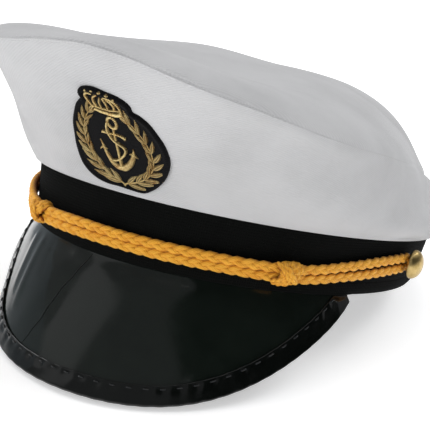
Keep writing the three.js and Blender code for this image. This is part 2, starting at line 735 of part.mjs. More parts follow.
function badgeOutline(pointsPerHalf) {
  const half = evenSteps(pointsPerHalf, 0, 1).map((place) => {
    const row = place * (BADGE_OUTLINE.length - 1);
    const index = Math.min(Math.floor(row), BADGE_OUTLINE.length - 2);
    const t = row - index;
    const from = BADGE_OUTLINE[index];
    const to = BADGE_OUTLINE[index + 1];
    const across = THREE.MathUtils.lerp(from.across, to.across, t) * BADGE_WIDTH / 2;
    return [across, THREE.MathUtils.lerp(from.along, to.along, t) * BADGE_HEIGHT];
  });
  const mirrored = half.slice(1, -1).reverse().map(([across, along]) => [-across, along]);
  return [...half, ...mirrored];
}

function badgeBacking() {
  const outline = badgeOutline(BADGE_OUTLINE.length - 1);
  const middle = [0, BADGE_HEIGHT * BACKING_MIDDLE];
  return mesh('badge_backing', badgePlate(outline, middle, 4, 0, FELT_WALL), MATERIALS.felt);
}

function toManifold(geometry) {
  const merged = mergeVertices(geometry, 0.0001);
  return new wasm.Manifold(new wasm.Mesh({
    numProp: 3,
    vertProperties: new Float32Array(merged.attributes.position.array),
    triVerts: new Uint32Array(merged.index.array),
  }));
}

// One body of several solids that run into each other
function fuse(geometries) {
  const joined = geometries.map(toManifold).reduce((whole, solid) => whole.add(solid));
  const result = joined.getMesh();
  const geometry = new THREE.BufferGeometry();
  geometry.setAttribute('position', new THREE.BufferAttribute(new Float32Array(result.vertProperties), 3));
  geometry.setIndex(new THREE.BufferAttribute(new Uint32Array(result.triVerts), 1));
  return geometry;
}

const MOTIF_LOW = FELT_WALL + CLEARANCE;

// A line of embroidery through flat badge points, as a raised bar with a flat back
function stitchedLine(route, width) {
  const sections = route.map(([x, y], index) => {
    const before = route[Math.max(index - 1, 0)];
    const after = route[Math.min(index + 1, route.length - 1)];
    const along = new THREE.Vector2(after[0] - before[0], after[1] - before[1]).normalize();
    const sideX = -along.y * width / 2;
    const sideY = along.x * width / 2;
    const high = MOTIF_LOW + EMBROIDERY_RAISE;
    return [
      badgePoint(x - sideX, y - sideY, MOTIF_LOW),
      badgePoint(x + sideX, y + sideY, MOTIF_LOW),
      badgePoint(x + sideX * 0.5, y + sideY * 0.5, high),
      badgePoint(x - sideX * 0.5, y - sideY * 0.5, high),
    ];
  });
  return sweptGeometry(sections);
}

// A pointed leaf with a raised vein, from its base along a direction in degrees from the badge's upright
function leaf(baseX, baseY, direction, length, width) {
  const turn = direction * DEGREE;
  const along = [Math.sin(turn), Math.cos(turn)];
  const across = [Math.cos(turn), -Math.sin(turn)];
  const place = (share, side, lift) => badgePoint(
    baseX + along[0] * length * share + across[0] * width * side,
    baseY + along[1] * length * share + across[1] * width * side,
    MOTIF_LOW + lift,
  );
  const points = LEAF_RIM.map((corner) => place(corner.along, corner.across, 0));
  points.push(...LEAF_RIDGE.map((top) => place(top.along, 0, EMBROIDERY_RAISE * top.raise)));
  const triangles = [
    [6, 0, 1], [6, 1, 2], [6, 2, 7], [7, 2, 3], [7, 3, 4], [7, 4, 5], [7, 5, 6], [6, 5, 0],
    [0, 5, 1], [1, 5, 4], [1, 4, 2], [2, 4, 3],
  ];
  return geometryFrom(points, triangles);
}

// Middle line of a wreath branch, from the crossing at the foot to the tip
function branchRoute(side, share) {
  const sweep = THREE.MathUtils.lerp(WREATH.start, WREATH.end, share) * DEGREE;
  const across = BADGE_WIDTH * WREATH.halfWidth * Math.cos(sweep);
  return [side * across, BADGE_HEIGHT * (WREATH.middle + WREATH.halfHeight * Math.sin(sweep))];
}

function badgeWreath(name, side) {
  const route = evenSteps(8, 0, 1).map((share) => branchRoute(side, share));
  const gap = STEM_WIDTH / 2 + CLEARANCE;
  route[0][0] = side * Math.max(Math.abs(route[0][0]), gap);
  const pieces = [stitchedLine(route, STEM_WIDTH)];
  for (let index = 0; index < LEAVES_PER_BRANCH; index += 1) {
    const share = (index + 1) / (LEAVES_PER_BRANCH + 0.5);
    const [x, y] = branchRoute(side, share);
    const [aheadX, aheadY] = branchRoute(side, share + 0.02);
    const heading = Math.atan2(aheadX - x, aheadY - y) / DEGREE;
    const turnOut = (index % 2 === 0 ? 1 : -1) * side * LEAF_TURN;
    const size = THREE.MathUtils.lerp(1, LEAF_TIP_SIZE, share);
    pieces.push(leaf(x, y, heading + turnOut, LEAF_LENGTH * size, LEAF_WIDTH * size));
  }
  return mesh(name, fuse(pieces), MATERIALS.goldThread);
}

function arcRoute(centreX, centreY, radius, start, end, steps) {
  return evenSteps(steps, start * DEGREE, end * DEGREE).map((turn) => {
    return [centreX + radius * Math.sin(turn), centreY + radius * Math.cos(turn)];
  });
}

function badgeAnchor() {
  const foot = BADGE_HEIGHT * ANCHOR.foot;
  const head = BADGE_HEIGHT * ANCHOR.head;
  const armReach = BADGE_WIDTH * ANCHOR.arm;
  const stockReach = BADGE_WIDTH * ANCHOR.stock;
  const stockHeight = head - BADGE_HEIGHT * ANCHOR.stockDrop;
  const flukeOut = armReach * Math.cos(DEGREE * LEAF_TURN);
  const flukeUp = foot + armReach * Math.sin(DEGREE * LEAF_TURN);
  const ring = arcRoute(0, head + ANCHOR_RING, ANCHOR_RING, -ANCHOR_RING_TURN, ANCHOR_RING_TURN, 10);
  const pieces = [
    stitchedLine([[0, foot], [0, (foot + head) / 2], [0, head]], ANCHOR_LINE),
    stitchedLine([[-stockReach, stockHeight], [0, stockHeight], [stockReach, stockHeight]], ANCHOR_LINE),
    stitchedLine(arcRoute(0, foot + armReach, armReach, ANCHOR.armStart, ANCHOR.armEnd, 8), ANCHOR_LINE),
    leaf(flukeOut, flukeUp, LEAF_TURN, ANCHOR_FLUKE, LEAF_WIDTH),
    leaf(-flukeOut, flukeUp, -LEAF_TURN, ANCHOR_FLUKE, LEAF_WIDTH),
    stitchedLine(ring, ANCHOR_RING_LINE),
  ];
  return mesh('badge_anchor', fuse(pieces), MATERIALS.goldThread);
}

function badgeCrown() {
  const base = BADGE_HEIGHT * BADGE_CROWN.base;
  const halfWidth = BADGE_WIDTH * BADGE_CROWN.halfWidth;
  const height = BADGE_HEIGHT * BADGE_CROWN.height;
  const pieces = [stitchedLine([[-halfWidth, base], [0, base], [halfWidth, base]], BADGE_CROWN.line)];
  for (const share of [-1, -0.5, 0, 0.5, 1]) {
    const point = height * (1 - BADGE_CROWN.arch * share * share);
    pieces.push(leaf(share * halfWidth * 0.9, base, share * BADGE_CROWN.lean, point, BADGE_CROWN.leafWidth));
  }
  return mesh('badge_crown', fuse(pieces), MATERIALS.goldThread);
}

// Lean of the cap at rest: the angle at which the binding and the flattened rear of the band touch one floor
function restingLean(binding) {
  const corners = binding.geometry.attributes.position;
  const rear = bandPoint(180, 0, 0);
  const heightAt = (y, z, lean) => z * Math.cos(lean) - y * Math.sin(lean);
  const frontOverRear = (lean) => {
    let lowest = Infinity;
    for (let index = 0; index < corners.count; index += 1) {
      lowest = Math.min(lowest, heightAt(corners.getY(index), corners.getZ(index), lean));
    }
    return lowest - heightAt(rear.y, rear.z, lean) - REAR_FLAT_DEPTH;
  };
  let low = 0;
  let high = STEEPEST_LEAN * DEGREE;
  for (let round = 0; round < 50; round += 1) {
    const middle = (low + high) / 2;
    if (frontOverRear(middle) < 0) {
      low = middle;
    } else {
      high = middle;
    }
  }
  return (low + high) / 2;
}

function buildCap() {
  const binding = peakBinding();
  const lean = restingLean(binding);
  const rear = bandPoint(180, 0, 0);
  const floorOffset = REAR_FLAT_DEPTH - rear.y * Math.sin(lean);
  const floorHeight = (y) => (floorOffset + y * Math.sin(lean)) / Math.cos(lean);
  const cap = new THREE.Group();
  cap.add(
    band(floorHeight),
    crownSide(),
    crownTop(),
    peak(),
    binding,
    cordStrand('upper'),
    cordStrand('lower'),
    knot('knot_left', KNOT_LEFT_ANGLE),
    knot('knot_right', KNOT_RIGHT_ANGLE),
    button('button_left', BUTTON_ANGLE),
    button('button_right', -BUTTON_ANGLE),
    badgeBacking(),
    badgeWreath('badge_wreath_left', 1),
    badgeWreath('badge_wreath_right', -1),
    badgeAnchor(),
    badgeCrown(),
  );
  cap.rotation.x = -lean;
  const resting = new THREE.Group();
  resting.add(cap);
  const box = new THREE.Box3().setFromObject(resting, true);
  const middle = box.getCenter(new THREE.Vector3());
  cap.position.set(-middle.x, -middle.y, -box.min.z);
  return resting;
}

export default buildCap();
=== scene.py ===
"""Looks of a soft white sailor cap: cloth crown and band, glossy peak, plaited gold cord, buttons and badge.

Sizes are in millimetres on the cap as it sits level, and every piece is placed in metres on the cap at rest.
"""

from __future__ import annotations

import logging
import math
from dataclasses import dataclass, field
from enum import Enum
from typing import Any, Callable, Sequence

import bmesh
import bpy
import numpy as np
from mathutils import Matrix, Vector


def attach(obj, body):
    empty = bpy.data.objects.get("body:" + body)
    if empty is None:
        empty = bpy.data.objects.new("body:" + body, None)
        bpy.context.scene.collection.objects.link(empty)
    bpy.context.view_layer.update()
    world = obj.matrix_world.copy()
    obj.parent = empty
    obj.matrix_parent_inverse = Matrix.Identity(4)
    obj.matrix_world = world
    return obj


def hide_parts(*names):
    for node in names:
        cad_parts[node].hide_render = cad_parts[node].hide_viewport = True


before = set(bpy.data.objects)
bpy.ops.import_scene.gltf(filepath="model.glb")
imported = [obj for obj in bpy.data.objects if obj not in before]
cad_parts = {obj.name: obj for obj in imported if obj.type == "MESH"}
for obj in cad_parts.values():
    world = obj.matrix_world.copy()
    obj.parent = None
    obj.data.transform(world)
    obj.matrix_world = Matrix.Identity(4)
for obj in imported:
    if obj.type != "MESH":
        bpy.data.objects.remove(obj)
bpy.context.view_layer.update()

LOG = logging.getLogger("sailor_cap")
Array = np.ndarray
Colour = tuple[float, float, float, float]
Inputs = dict[Any, Any]

# The scale at which the wave texture draws one band a unit, so that a mapping of 1 / width draws bands of that width.
ONE_BAND = 0.314159
# In fine pieces only points as close as this are merged, in metres.
FINE_WELD = 1e-8

# The crown's values at even steps from its front, first, to its back, last.
CROWN_SECTIONS: dict[str, tuple[float, ...]] = {
    "spread": (0.35, 0.4, 0.6, 0.85, 1.0, 1.0, 0.9, 0.8, 0.7, 0.7),
    "reach": (1.0, 0.96, 0.6, 0.31, 0.05, -0.1, -0.11, -0.06, 0.0, 0.02),
    "rise": (1.0, 0.9, 0.8, 0.75, 0.71, 0.68, 0.67, 0.68, 0.69, 0.69),
    "belly": (0.1, 0.12, 0.24, 0.42, 0.58, 0.7, 0.68, 0.6, 0.52, 0.5),
    "slump": (0.6, 0.6, 0.6, 0.62, 0.66, 0.7, 0.76, 0.82, 0.86, 0.86),
    "roll": (0.4, 0.5, 0.5, 0.25, 0.0, 0.0, 0.0, 0.0, 0.0, 0.0),
}

SEAM_SWELLS: tuple[dict[str, float], ...] = (
    {"angle": -45, "spread": 22, "reach": 0.09, "rise": 0.15},
    {"angle": 112, "spread": 26, "reach": 0.03, "rise": -0.06},
)

SIDE_DENTS: tuple[dict[str, float], ...] = (
    {"angle": 74, "level": 0.55, "depth": 0.22, "spread": 11, "reach": 0.22},
    {"angle": -68, "level": 0.35, "depth": 0.12, "spread": 14, "reach": 0.3},
    {"angle": 128, "level": 0.5, "depth": 0.25, "spread": 13, "reach": 0.28},
    {"angle": -120, "level": 0.45, "depth": 0.28, "spread": 15, "reach": 0.3},
    {"angle": 168, "level": 0.4, "depth": 0.25, "spread": 12, "reach": 0.3},
)

TOP_SWELLS: tuple[dict[str, float], ...] = (
    {"across": -0.6, "along": -1.12, "height": 0.11, "reach": 0.33},
    {"across": 0.15, "along": -0.75, "height": -0.25, "reach": 0.35},
    {"across": -0.3, "along": 0.25, "height": 0.02, "reach": 0.4},
    {"across": 0.42, "along": 0.2, "height": -0.19, "reach": 0.22},
    {"across": 0.3, "along": 0.75, "height": 0.17, "reach": 0.35},
    {"across": -0.5, "along": 0.6, "height": -0.12, "reach": 0.25},
    {"across": 0.75, "along": 0.5, "height": 0.16, "reach": 0.3},
    {"across": -0.25, "along": -0.25, "height": 0.07, "reach": 0.35},
)


def catmull_rom(before: Array, start: Array, end: Array, after: Array, t: Array) -> Array:
    """Returns the smooth value between two values.

    Args:
        before: The value before start.
        start: The value at share 0.
        end: The value at share 1.
        after: The value after end.
        t: The share of the way.

    Returns:
        The value at that share.
    """
    start_slope = (end - before) / 2
    end_slope = (after - start) / 2
    bend = 2 * start - 2 * end + start_slope + end_slope
    curve = -3 * start + 3 * end - 2 * start_slope - end_slope
    return ((bend * t + curve) * t + start_slope) * t + start


def bump(distance: Array, reach: float) -> Array:
    """Returns a soft hill of height 1 that fades over reach."""
    return np.exp(-((distance / reach) ** 2))


def unit(vectors: Array) -> Array:
    """Returns the vectors at length 1."""
    return vectors / np.maximum(np.linalg.norm(vectors, axis=-1, keepdims=True), 1e-12)


def stack(x: Array, y: Array, z: Array) -> Array:
    """Returns points from three arrays of coordinates."""
    return np.stack(np.broadcast_arrays(x, y, z), axis=-1)


def apart(angle: Array, other: float) -> Array:
    """Returns how far an angle lies from another, from -180 to 180 degrees."""
    return (angle - other + 180) % 360 - 180


def run_length(line: Array) -> Array:
    """Returns the running length along a line of points, from 0."""
    return np.concatenate([[0], np.cumsum(np.linalg.norm(np.diff(line, axis=0), axis=1))])


def walk(places: Array, length: Array, line: Array) -> Array:
    """Returns a line's points at the given places of its running length."""
    return np.stack([np.interp(places, length, column) for column in line.T], -1)


def through(rows: Array, row: Array, t: Array, wrap: Callable[[Array], Array]) -> Array:
    """Returns the smooth curve through rows of values or points.

    Args:
        rows: What the curve goes through.
        row: The row before each place.
        t: The share of the way from that row to the next.
        wrap: Brings an index that is past an end back among the rows.

    Returns:
        The value or point at each place.
    """
    return catmull_rom(*(rows[wrap(row + step)] for step in (-1, 0, 1, 2)), t)


def smooth_path(corners: Sequence[tuple[float, float]], count: int) -> Array:
    """Returns a smooth open line through flat corners.

    Args:
        corners: The points that it goes through.
        count: How many points it has.

    Returns:
        The line's points.
    """
    line = np.array(corners)
    last = len(line) - 1
    place = np.linspace(0, last, count)
    row = np.minimum(place.astype(int), last - 1)
    return through(line, row, (place - row)[:, None], lambda index: np.clip(index, 0, last))


@dataclass(frozen=True)
class CapShape:
    """The cap's named sizes in millimetres and the surfaces that follow from them.

    The cap is drawn level, with its front along -Y and the band's lower edge at height 0.
    Angles run in degrees from the front towards +X.
    """

    band_width: float = 168.0
    band_length: float = 212.0
    band_height: float = 23.6
    band_front_rise: float = 2.4
    band_flare: float = 3.6
    overhang: float = 3.2
    clearance: float = 0.3
    flare: float = 47.6
    rise: float = 79.0
    belly: float = 13.0
    crest: float = 85.0
    setback: float = 10.0
    roll: float = 5.0
    roll_place: float = 0.07
    puff: float = 3.0
    fade: float = 6.0
    settle: float = 0.08
    peak_drop: float = 52.6
    peak_half_angle: float = 64.5
    peak_bow: float = 1.6
    lean: float = 12.42
    shift: tuple[float, float, float] = (-0.11, 8.03, 21.80)

    def at_rest(self, points: Array) -> Array:
        """Turns and shifts the level cap to where it rests.

        Args:
            points: Level points in mm.

        Returns:
            The same points in metres on the resting cap.
        """
        turn = math.radians(self.lean)
        x, y, z = points[..., 0], points[..., 1], points[..., 2]
        back = y * math.cos(turn) + z * math.sin(turn)
        up = z * math.cos(turn) - y * math.sin(turn)
        return (stack(x, back, up) + np.array(self.shift)) / 1000

    def section(self, angle: Array, column: str) -> Array:
        """Returns a value of the crown's sections.

        Args:
            angle: Angles in degrees.
            column: The value's name in CROWN_SECTIONS.

        Returns:
            The smooth value at each angle, the same on both sides.
        """
        rows = np.array(CROWN_SECTIONS[column])
        last = len(rows) - 1
        scaled = np.abs(apart(angle, 0)) / 180 * last
        row = np.minimum(np.floor(scaled), last - 1).astype(int)
        return through(rows, row, scaled - row, lambda index: last - np.abs(last - np.abs(index)))

    def normal(self, angle: Array) -> Array:
        """Returns the direction straight out of the band's oval."""
        turn = np.radians(angle)
        return unit(stack(np.sin(turn) / self.band_width, -np.cos(turn) / self.band_length, 0.0 * turn))

    def oval(self, angle: Array, outward: Array, up: Array) -> Array:
        """Returns points on or off the band's lower oval.

        Args:
            angle: Angles in degrees.
            outward: Distance out from the oval, in mm.
            up: Height over it, in mm.

        Returns:
            Level points in mm.
        """
        turn = np.radians(angle)
        base = stack(np.sin(turn) * self.band_width / 2, -np.cos(turn) * self.band_length / 2, up)
        return base + self.normal(angle) * np.asarray(outward)[..., None]

    def band_top(self, angle: Array) -> Array:
        """Returns the height at which the crown rolls over the band."""
        return self.band_height + self.band_front_rise * np.cos(np.radians(angle))

    def band_spread(self, angle: Array, up: Array) -> Array:
        """Returns how far the band has widened at a height."""
        share = np.clip(up / self.band_top(angle), 0, 1)
        return self.band_flare * self.section(angle, "spread") * share

    def band(self, angle: Array, outward: Array, up: Array) -> Array:
        """Returns points out from the band's outer face."""
        return self.oval(angle, outward + self.band_spread(angle, up), up)

    def seam_share(self, angle: Array, column: str) -> Array:
        """Returns the seam's reach or rise.

        Args:
            angle: Angles in degrees.
            column: "reach" or "rise".

        Returns:
            Its share of the crown's flare or rise at each angle.
        """
        share = self.section(angle, column)
        for swell in SEAM_SWELLS:
            share = share + swell[column] * bump(apart(angle, swell["angle"]), swell["spread"])
        return share

    def seam_reach(self, angle: Array) -> Array:
        """Returns how far the seam stands out from the band's oval."""
        return self.flare * self.seam_share(angle, "reach")

    def seam_height(self, angle: Array) -> Array:
        """Returns the height of the seam between side wall and top."""
        return self.rise * self.seam_share(angle, "rise")

    def wall(self, angle: Array, level: Array) -> Array:
        """Returns the side wall's outer face.

        Args:
            angle: Angles in degrees.
            level: Height as a share, 0 at the band and 1 at the seam.

        Returns:
            Level points in mm.
        """
        foot = self.band_top(angle) + self.overhang / 2
        lean = level - self.settle * (1 - np.exp(-level / self.settle)) * (1 - level)
        slumped = np.maximum(level, 0) ** self.section(angle, "slump")
        belly = self.belly * self.section(angle, "belly") * np.sin(np.pi * np.clip(slumped, 0, 1))
        dents = 0.0
        for dent in SIDE_DENTS:
            sideways = bump(apart(angle, dent["angle"]), dent["spread"])
            dents = dents + self.belly * dent["depth"] * sideways * bump(level - dent["level"], dent["reach"])
        start = self.band_spread(angle, foot) + self.overhang
        outward = start + (self.seam_reach(angle) - start) * lean + belly
        outward = outward - dents * np.sin(np.pi * np.clip(level, 0, 1))
        return self.oval(angle, outward, foot + (self.seam_height(angle) - foot) * level)

    def hem_roll(self, angle: Array, turn: Array) -> Array:
        """Returns the side wall's lower edge, which curls in over the band.

        Args:
            angle: Angles in degrees.
            turn: Share of the half turn, 0 at the band and 1 at the wall.

        Returns:
            Level points in mm.
        """
        radius = self.overhang / 2
        sweep = np.pi * (1 + turn)
        outward = radius + self.clearance * (1 - turn) + radius * np.cos(sweep)
        return self.band(angle, outward, self.band_top(angle) + radius * (1 + np.sin(sweep)))

    def side(self, angle: Array, travel: Array) -> Array:
        """Returns the whole side wall.

        Args:
            angle: Angles in degrees.
            travel: From -1 at the roll over the band, over 0 at its foot, to 1 at the seam.

        Returns:
            Level points in mm.
        """
        rolled = self.hem_roll(angle, np.minimum(travel, 0) + 1)
        walled = self.wall(angle, np.maximum(travel, 0))
        return np.where((travel < 0)[..., None], rolled, walled)

    def top(self, angle: Array, inward: Array) -> Array:
        """Returns the top panel's outer face.

        Args:
            angle: Angles in degrees.
            inward: Share of the way in, 0 at the seam and 1 in the middle.

        Returns:
            Level points in mm.
        """
        seam = self.oval(angle, self.seam_reach(angle), self.seam_height(angle))
        x = seam[..., 0] * (1 - inward)
        y = seam[..., 1] * (1 - inward) + self.setback * inward
        z = seam[..., 2] + (self.crest - seam[..., 2]) * (1 - (1 - inward) ** self.puff)
        share = inward / self.roll_place
        z = z + self.roll * self.section(angle, "roll") * share * np.exp(1 - share)
        step = self.crest - self.rise * CROWN_SECTIONS["rise"][-1]
        for swell in TOP_SWELLS:
            across = x / (self.band_width / 2) - swell["across"]
            along = (y - swell["along"] * self.band_length / 2) / (self.band_width / 2)
            hill = bump(np.hypot(across, along), swell["reach"])
            z = z + swell["height"] * step * (1 - (1 - inward) ** self.fade) * hill
        return stack(x, y, z)

    def peak_share(self, angle: Array) -> Array:
        """Returns the share of the way from the peak's middle to its ends."""
        return np.abs(angle) * 0.97 / self.peak_half_angle

    def peak_reach(self, angle: Array) -> Array:
        """Returns how far the peak reaches from the band."""
        share = self.peak_share(angle)
        return self.peak_drop * (1 - share**3.1) * (1 - 0.5 * share**2)

    def peak_fall(self, angle: Array) -> Array:
        """Returns the direction in which the peak hangs.

        Args:
            angle: Angles in degrees.

        Returns:
            Directions of length 1.
        """
        share = self.peak_share(angle)
        slope = np.radians(65.2 + 33 * share**2 - 43.6 * share**4)
        return self.normal(angle) * np.cos(slope)[..., None] + stack(0 * slope, 0 * slope, -np.sin(slope))

    def peak_facing(self, angle: Array) -> Array:
        """Returns the direction that the peak's outer face looks in.

        Args:
            angle: Angles in degrees.

        Returns:
            Directions of length 1, square to the one in which it hangs.
        """
        fall = self.peak_fall(angle)
        out = self.normal(angle)
        return unit(out - fall * (out * fall).sum(-1, keepdims=True))

    def peak(self, angle: Array, down: Array) -> Array:
        """Returns the peak's outer face.

        Args:
            angle: Angles in degrees.
            down: Distance from the band in mm.

        Returns:
            Level points in mm.
        """
        bow = np.maximum(self.peak_bow * np.sin(np.pi * down / self.peak_drop), 0)
        start = self.band(angle, 0.0 * angle, -self.clearance + 0.0 * angle)
        return start + self.peak_fall(angle) * down[..., None] + self.peak_facing(angle) * bow[..., None]


def srgb(code: str) -> Colour:
    """Turns an sRGB hex colour into a linear one.

    Args:
        code: Six hex digits, such as "d9dadd".

    Returns:
        The linear red, green, blue and an alpha of 1.
    """
    parts = [int(code[i : i + 2], 16) / 255 for i in (0, 2, 4)]
    linear = [c / 12.92 if c <= 0.04045 else ((c + 0.055) / 1.055) ** 2.4 for c in parts]
    return (linear[0], linear[1], linear[2], 1.0)


def add_node(tree: Any, kind: str, settings: Inputs, links: Inputs | None = None) -> Any:
    """Adds a shader node.

    Args:
        tree: The material's node tree.
        kind: The node's type name without its ShaderNode.
        settings: Values by input name, input number or attribute name. A ramp's stops are places and sRGB colours.
        links: Output sockets by input name or number.

    Returns:
        The new node.
    """
    node = tree.nodes.new(f"ShaderNode{kind}")
    for key, value in settings.items():
        if key == "stops":
            for element, (place, code) in zip(node.color_ramp.elements, value):
                element.position, element.color = place, srgb(code)
        elif isinstance(key, int) or key in node.inputs:
            node.inputs[key].default_value = value
        else:
            setattr(node, key, value)
    for key, socket in (links or {}).items():
        tree.links.new(socket, node.inputs[key])
    return node


@dataclass(frozen=True)
class Finish:
    """A finish. Each kind of finish says what its shader is given."""

    name: str

    def shading(self, tree: Any) -> tuple[Inputs, Inputs]:
        """Adds the finish's patterns and returns what the shader is given."""
        raise NotImplementedError

    def material(self) -> Any:
        """Builds the material from the finish's patterns and one principled shader.

        Returns:
            The material, named for the finish.
        """
        material = bpy.data.materials.new(self.name)
        material.use_nodes = True
        tree = material.node_tree
        tree.nodes.clear()
        shader = add_node(tree, "BsdfPrincipled", *self.shading(tree))
        add_node(tree, "OutputMaterial", {}, {"Surface": shader.outputs[0]})
        return material


class Weave(Enum):
    """How a cloth's threads cross."""

    TWILL = "twill"
    PLAIN = "plain"


@dataclass(frozen=True)
class WovenCloth(Finish):
    """Woven cloth. Twill shows fine slanting ribs, plain weave a fine even grid."""

    light: str
    dark: str
    weave: Weave
    thread: float
    relief: float
    roughness: float
    sheen: float
    sheen_tint: str
    mottle: float
    gloss: float

    SLUB = 0.0016
    TWILL_SLANT = 52.0

    def shading(self, tree: Any) -> tuple[Inputs, Inputs]:
        """Adds threads on the cloth's own UV map, and soft clouding over the whole piece.

        Args:
            tree: The material's node tree.

        Returns:
            The shader's settings and links.
        """
        flat = add_node(tree, "UVMap", {"uv_map": "cut"}).outputs[0]
        place = add_node(tree, "TexCoord", {}).outputs["Object"]
        ribs = self.threads(tree, flat, math.radians(self.TWILL_SLANT if self.weave is Weave.TWILL else 0))
        if self.weave is Weave.PLAIN:
            across = self.threads(tree, flat, math.pi / 2)
            ribs = add_node(tree, "Math", {"operation": "ADD"}, {0: ribs, 1: across}).outputs[0]
        slub = add_node(
            tree, "TexNoise", {"Scale": 1 / self.SLUB, "Detail": 3.0, "Roughness": 0.6}, {"Vector": flat}
        ).outputs["Fac"]
        height = add_node(tree, "Math", {"operation": "MULTIPLY_ADD", 1: 0.8}, {0: slub, 2: ribs}).outputs[0]
        cloud = add_node(
            tree, "TexNoise", {"Scale": 1 / self.mottle, "Detail": 4.0, "Roughness": 0.55}, {"Vector": place}
        ).outputs["Fac"]
        tone = add_node(
            tree, "Math", {"operation": "MULTIPLY_ADD", 1: 0.16, "use_clamp": True}, {0: height, 2: cloud}
        ).outputs[0]
        colour = add_node(tree, "ValToRGB", {"stops": [(0.3, self.dark), (0.75, self.light)]}, {0: tone})
        normal = add_node(tree, "Bump", {"Strength": 0.6, "Distance": self.relief}, {"Height": height})
        return {
            "Roughness": self.roughness,
            "Sheen Weight": self.sheen,
            "Sheen Roughness": 0.45,
            "Sheen Tint": srgb(self.sheen_tint),
            "Specular IOR Level": self.gloss,
        }, {"Base Color": colour.outputs[0], "Normal": normal.outputs[0]}

    def threads(self, tree: Any, flat: Any, turn: float) -> Any:
        """Adds one set of parallel threads and returns its height.

        Args:
            tree: The material's node tree.
            flat: The cloth's flat coordinates, in metres.
            turn: Turn of the threads, in radians.

        Returns:
            The socket that carries the height.
        """
        laid = add_node(tree, "Mapping", {"Rotation": (0, 0, turn), "Scale": (1 / self.thread,) * 3}, {"Vector": flat})
        wave = {"Scale": ONE_BAND, "Distortion": 0.5, "Detail": 1.0, "Detail Scale": 0.6}
        return add_node(tree, "TexWave", wave, {"Vector": laid.outputs[0]}).outputs["Fac"]


@dataclass(frozen=True)
class GlossyVinyl(Finish):
    """Patent vinyl: a black film with a wet gloss, soft waves and a few rubbed places."""

    base: str
    haze: str
    roughness: float
    wave: float
    wave_height: float

    SMEAR = 0.018
    GRIT = 0.0011
    RUBBED = 0.13

    def shading(self, tree: Any) -> tuple[Inputs, Inputs]:
        """Adds long waves that bend the reflections, and smears that dull them here and there.

        Args:
            tree: The material's node tree.

        Returns:
            The shader's settings and links.
        """
        place = add_node(tree, "TexCoord", {}).outputs["Object"]
        waves, smear, grit = (
            add_node(tree, "TexNoise", {"Scale": 1 / size, **settings}, {"Vector": place}).outputs["Fac"]
            for size, settings in (
                (self.wave, {"Detail": 1.5, "Roughness": 0.4}),
                (self.SMEAR, {"Detail": 5.0, "Roughness": 0.65}),
                (self.GRIT, {"Detail": 2.0}),
            )
        )
        spread = {"From Min": 0.35, "From Max": 0.75, "To Min": self.roughness, "To Max": self.roughness + self.RUBBED}
        rough = add_node(tree, "MapRange", spread, {"Value": smear})
        colour = add_node(tree, "ValToRGB", {"stops": [(0.3, self.base), (0.8, self.haze)]}, {0: smear})
        fine = add_node(tree, "Bump", {"Strength": 0.15, "Distance": 0.00005}, {"Height": grit}).outputs[0]
        normal = add_node(
            tree, "Bump", {"Strength": 1.0, "Distance": self.wave_height}, {"Height": waves, "Normal": fine}
        )
        links = {"Base Color": colour.outputs[0], "Roughness": rough.outputs[0], "Normal": normal.outputs[0]}
        return {"IOR": 1.5, "Specular IOR Level": 0.34}, links


@dataclass(frozen=True)
class PlaitedYarn(Finish):
    """Soft polyester yarn: golden, with twisted filaments, and painted shade in deep orange between and behind the
    plies.
    """

    lit: str
    body: str
    # The colour of the painted shade.
    painted_shade: str
    filament: float
    relief: float

    TWIST = 28.0
    TONE = 0.004

    def shading(self, tree: Any) -> tuple[Inputs, Inputs]:
        """Adds filaments along each ply's UV map, and painted shade: a deep orange mixed in by the hollow attribute.

        Args:
            tree: The material's node tree.

        Returns:
            The shader's settings and links.
        """
        flat = add_node(tree, "UVMap", {"uv_map": "cut"}).outputs[0]
        place = add_node(tree, "TexCoord", {}).outputs["Object"]
        # Painted shade: the hollow attribute mixes in the deep orange.
        depth = add_node(tree, "Attribute", {"attribute_name": "painted_shade"}).outputs["Fac"]
        twisted = {"Rotation": (0, 0, math.radians(self.TWIST)), "Scale": (1 / self.filament,) * 3}
        laid = add_node(tree, "Mapping", twisted, {"Vector": flat}).outputs[0]
        filaments = add_node(
            tree, "TexWave", {"Scale": ONE_BAND, "Distortion": 1.2, "Detail": 2.0}, {"Vector": laid}
        ).outputs["Fac"]
        tone = add_node(tree, "TexNoise", {"Scale": 1 / self.TONE, "Detail": 3.0}, {"Vector": place}).outputs["Fac"]
        mixed = add_node(tree, "Math", {"operation": "MULTIPLY_ADD", 1: 0.45}, {0: filaments, 2: tone}).outputs[0]
        golden = add_node(tree, "ValToRGB", {"stops": [(0.35, self.body), (0.85, self.lit)]}, {0: mixed}).outputs[0]
        colour = add_node(tree, "Mix", {"data_type": "RGBA", 7: srgb(self.painted_shade)}, {0: depth, 6: golden})
        normal = add_node(tree, "Bump", {"Strength": 0.7, "Distance": self.relief}, {"Height": filaments})
        return {
            "Roughness": 0.55,
            "Sheen Weight": 0.25,
            "Sheen Roughness": 0.5,
            "Sheen Tint": srgb("ffe2a0"),
            "Specular IOR Level": 0.35,
        }, {"Base Color": colour.outputs[2], "Normal": normal.outputs[0]}


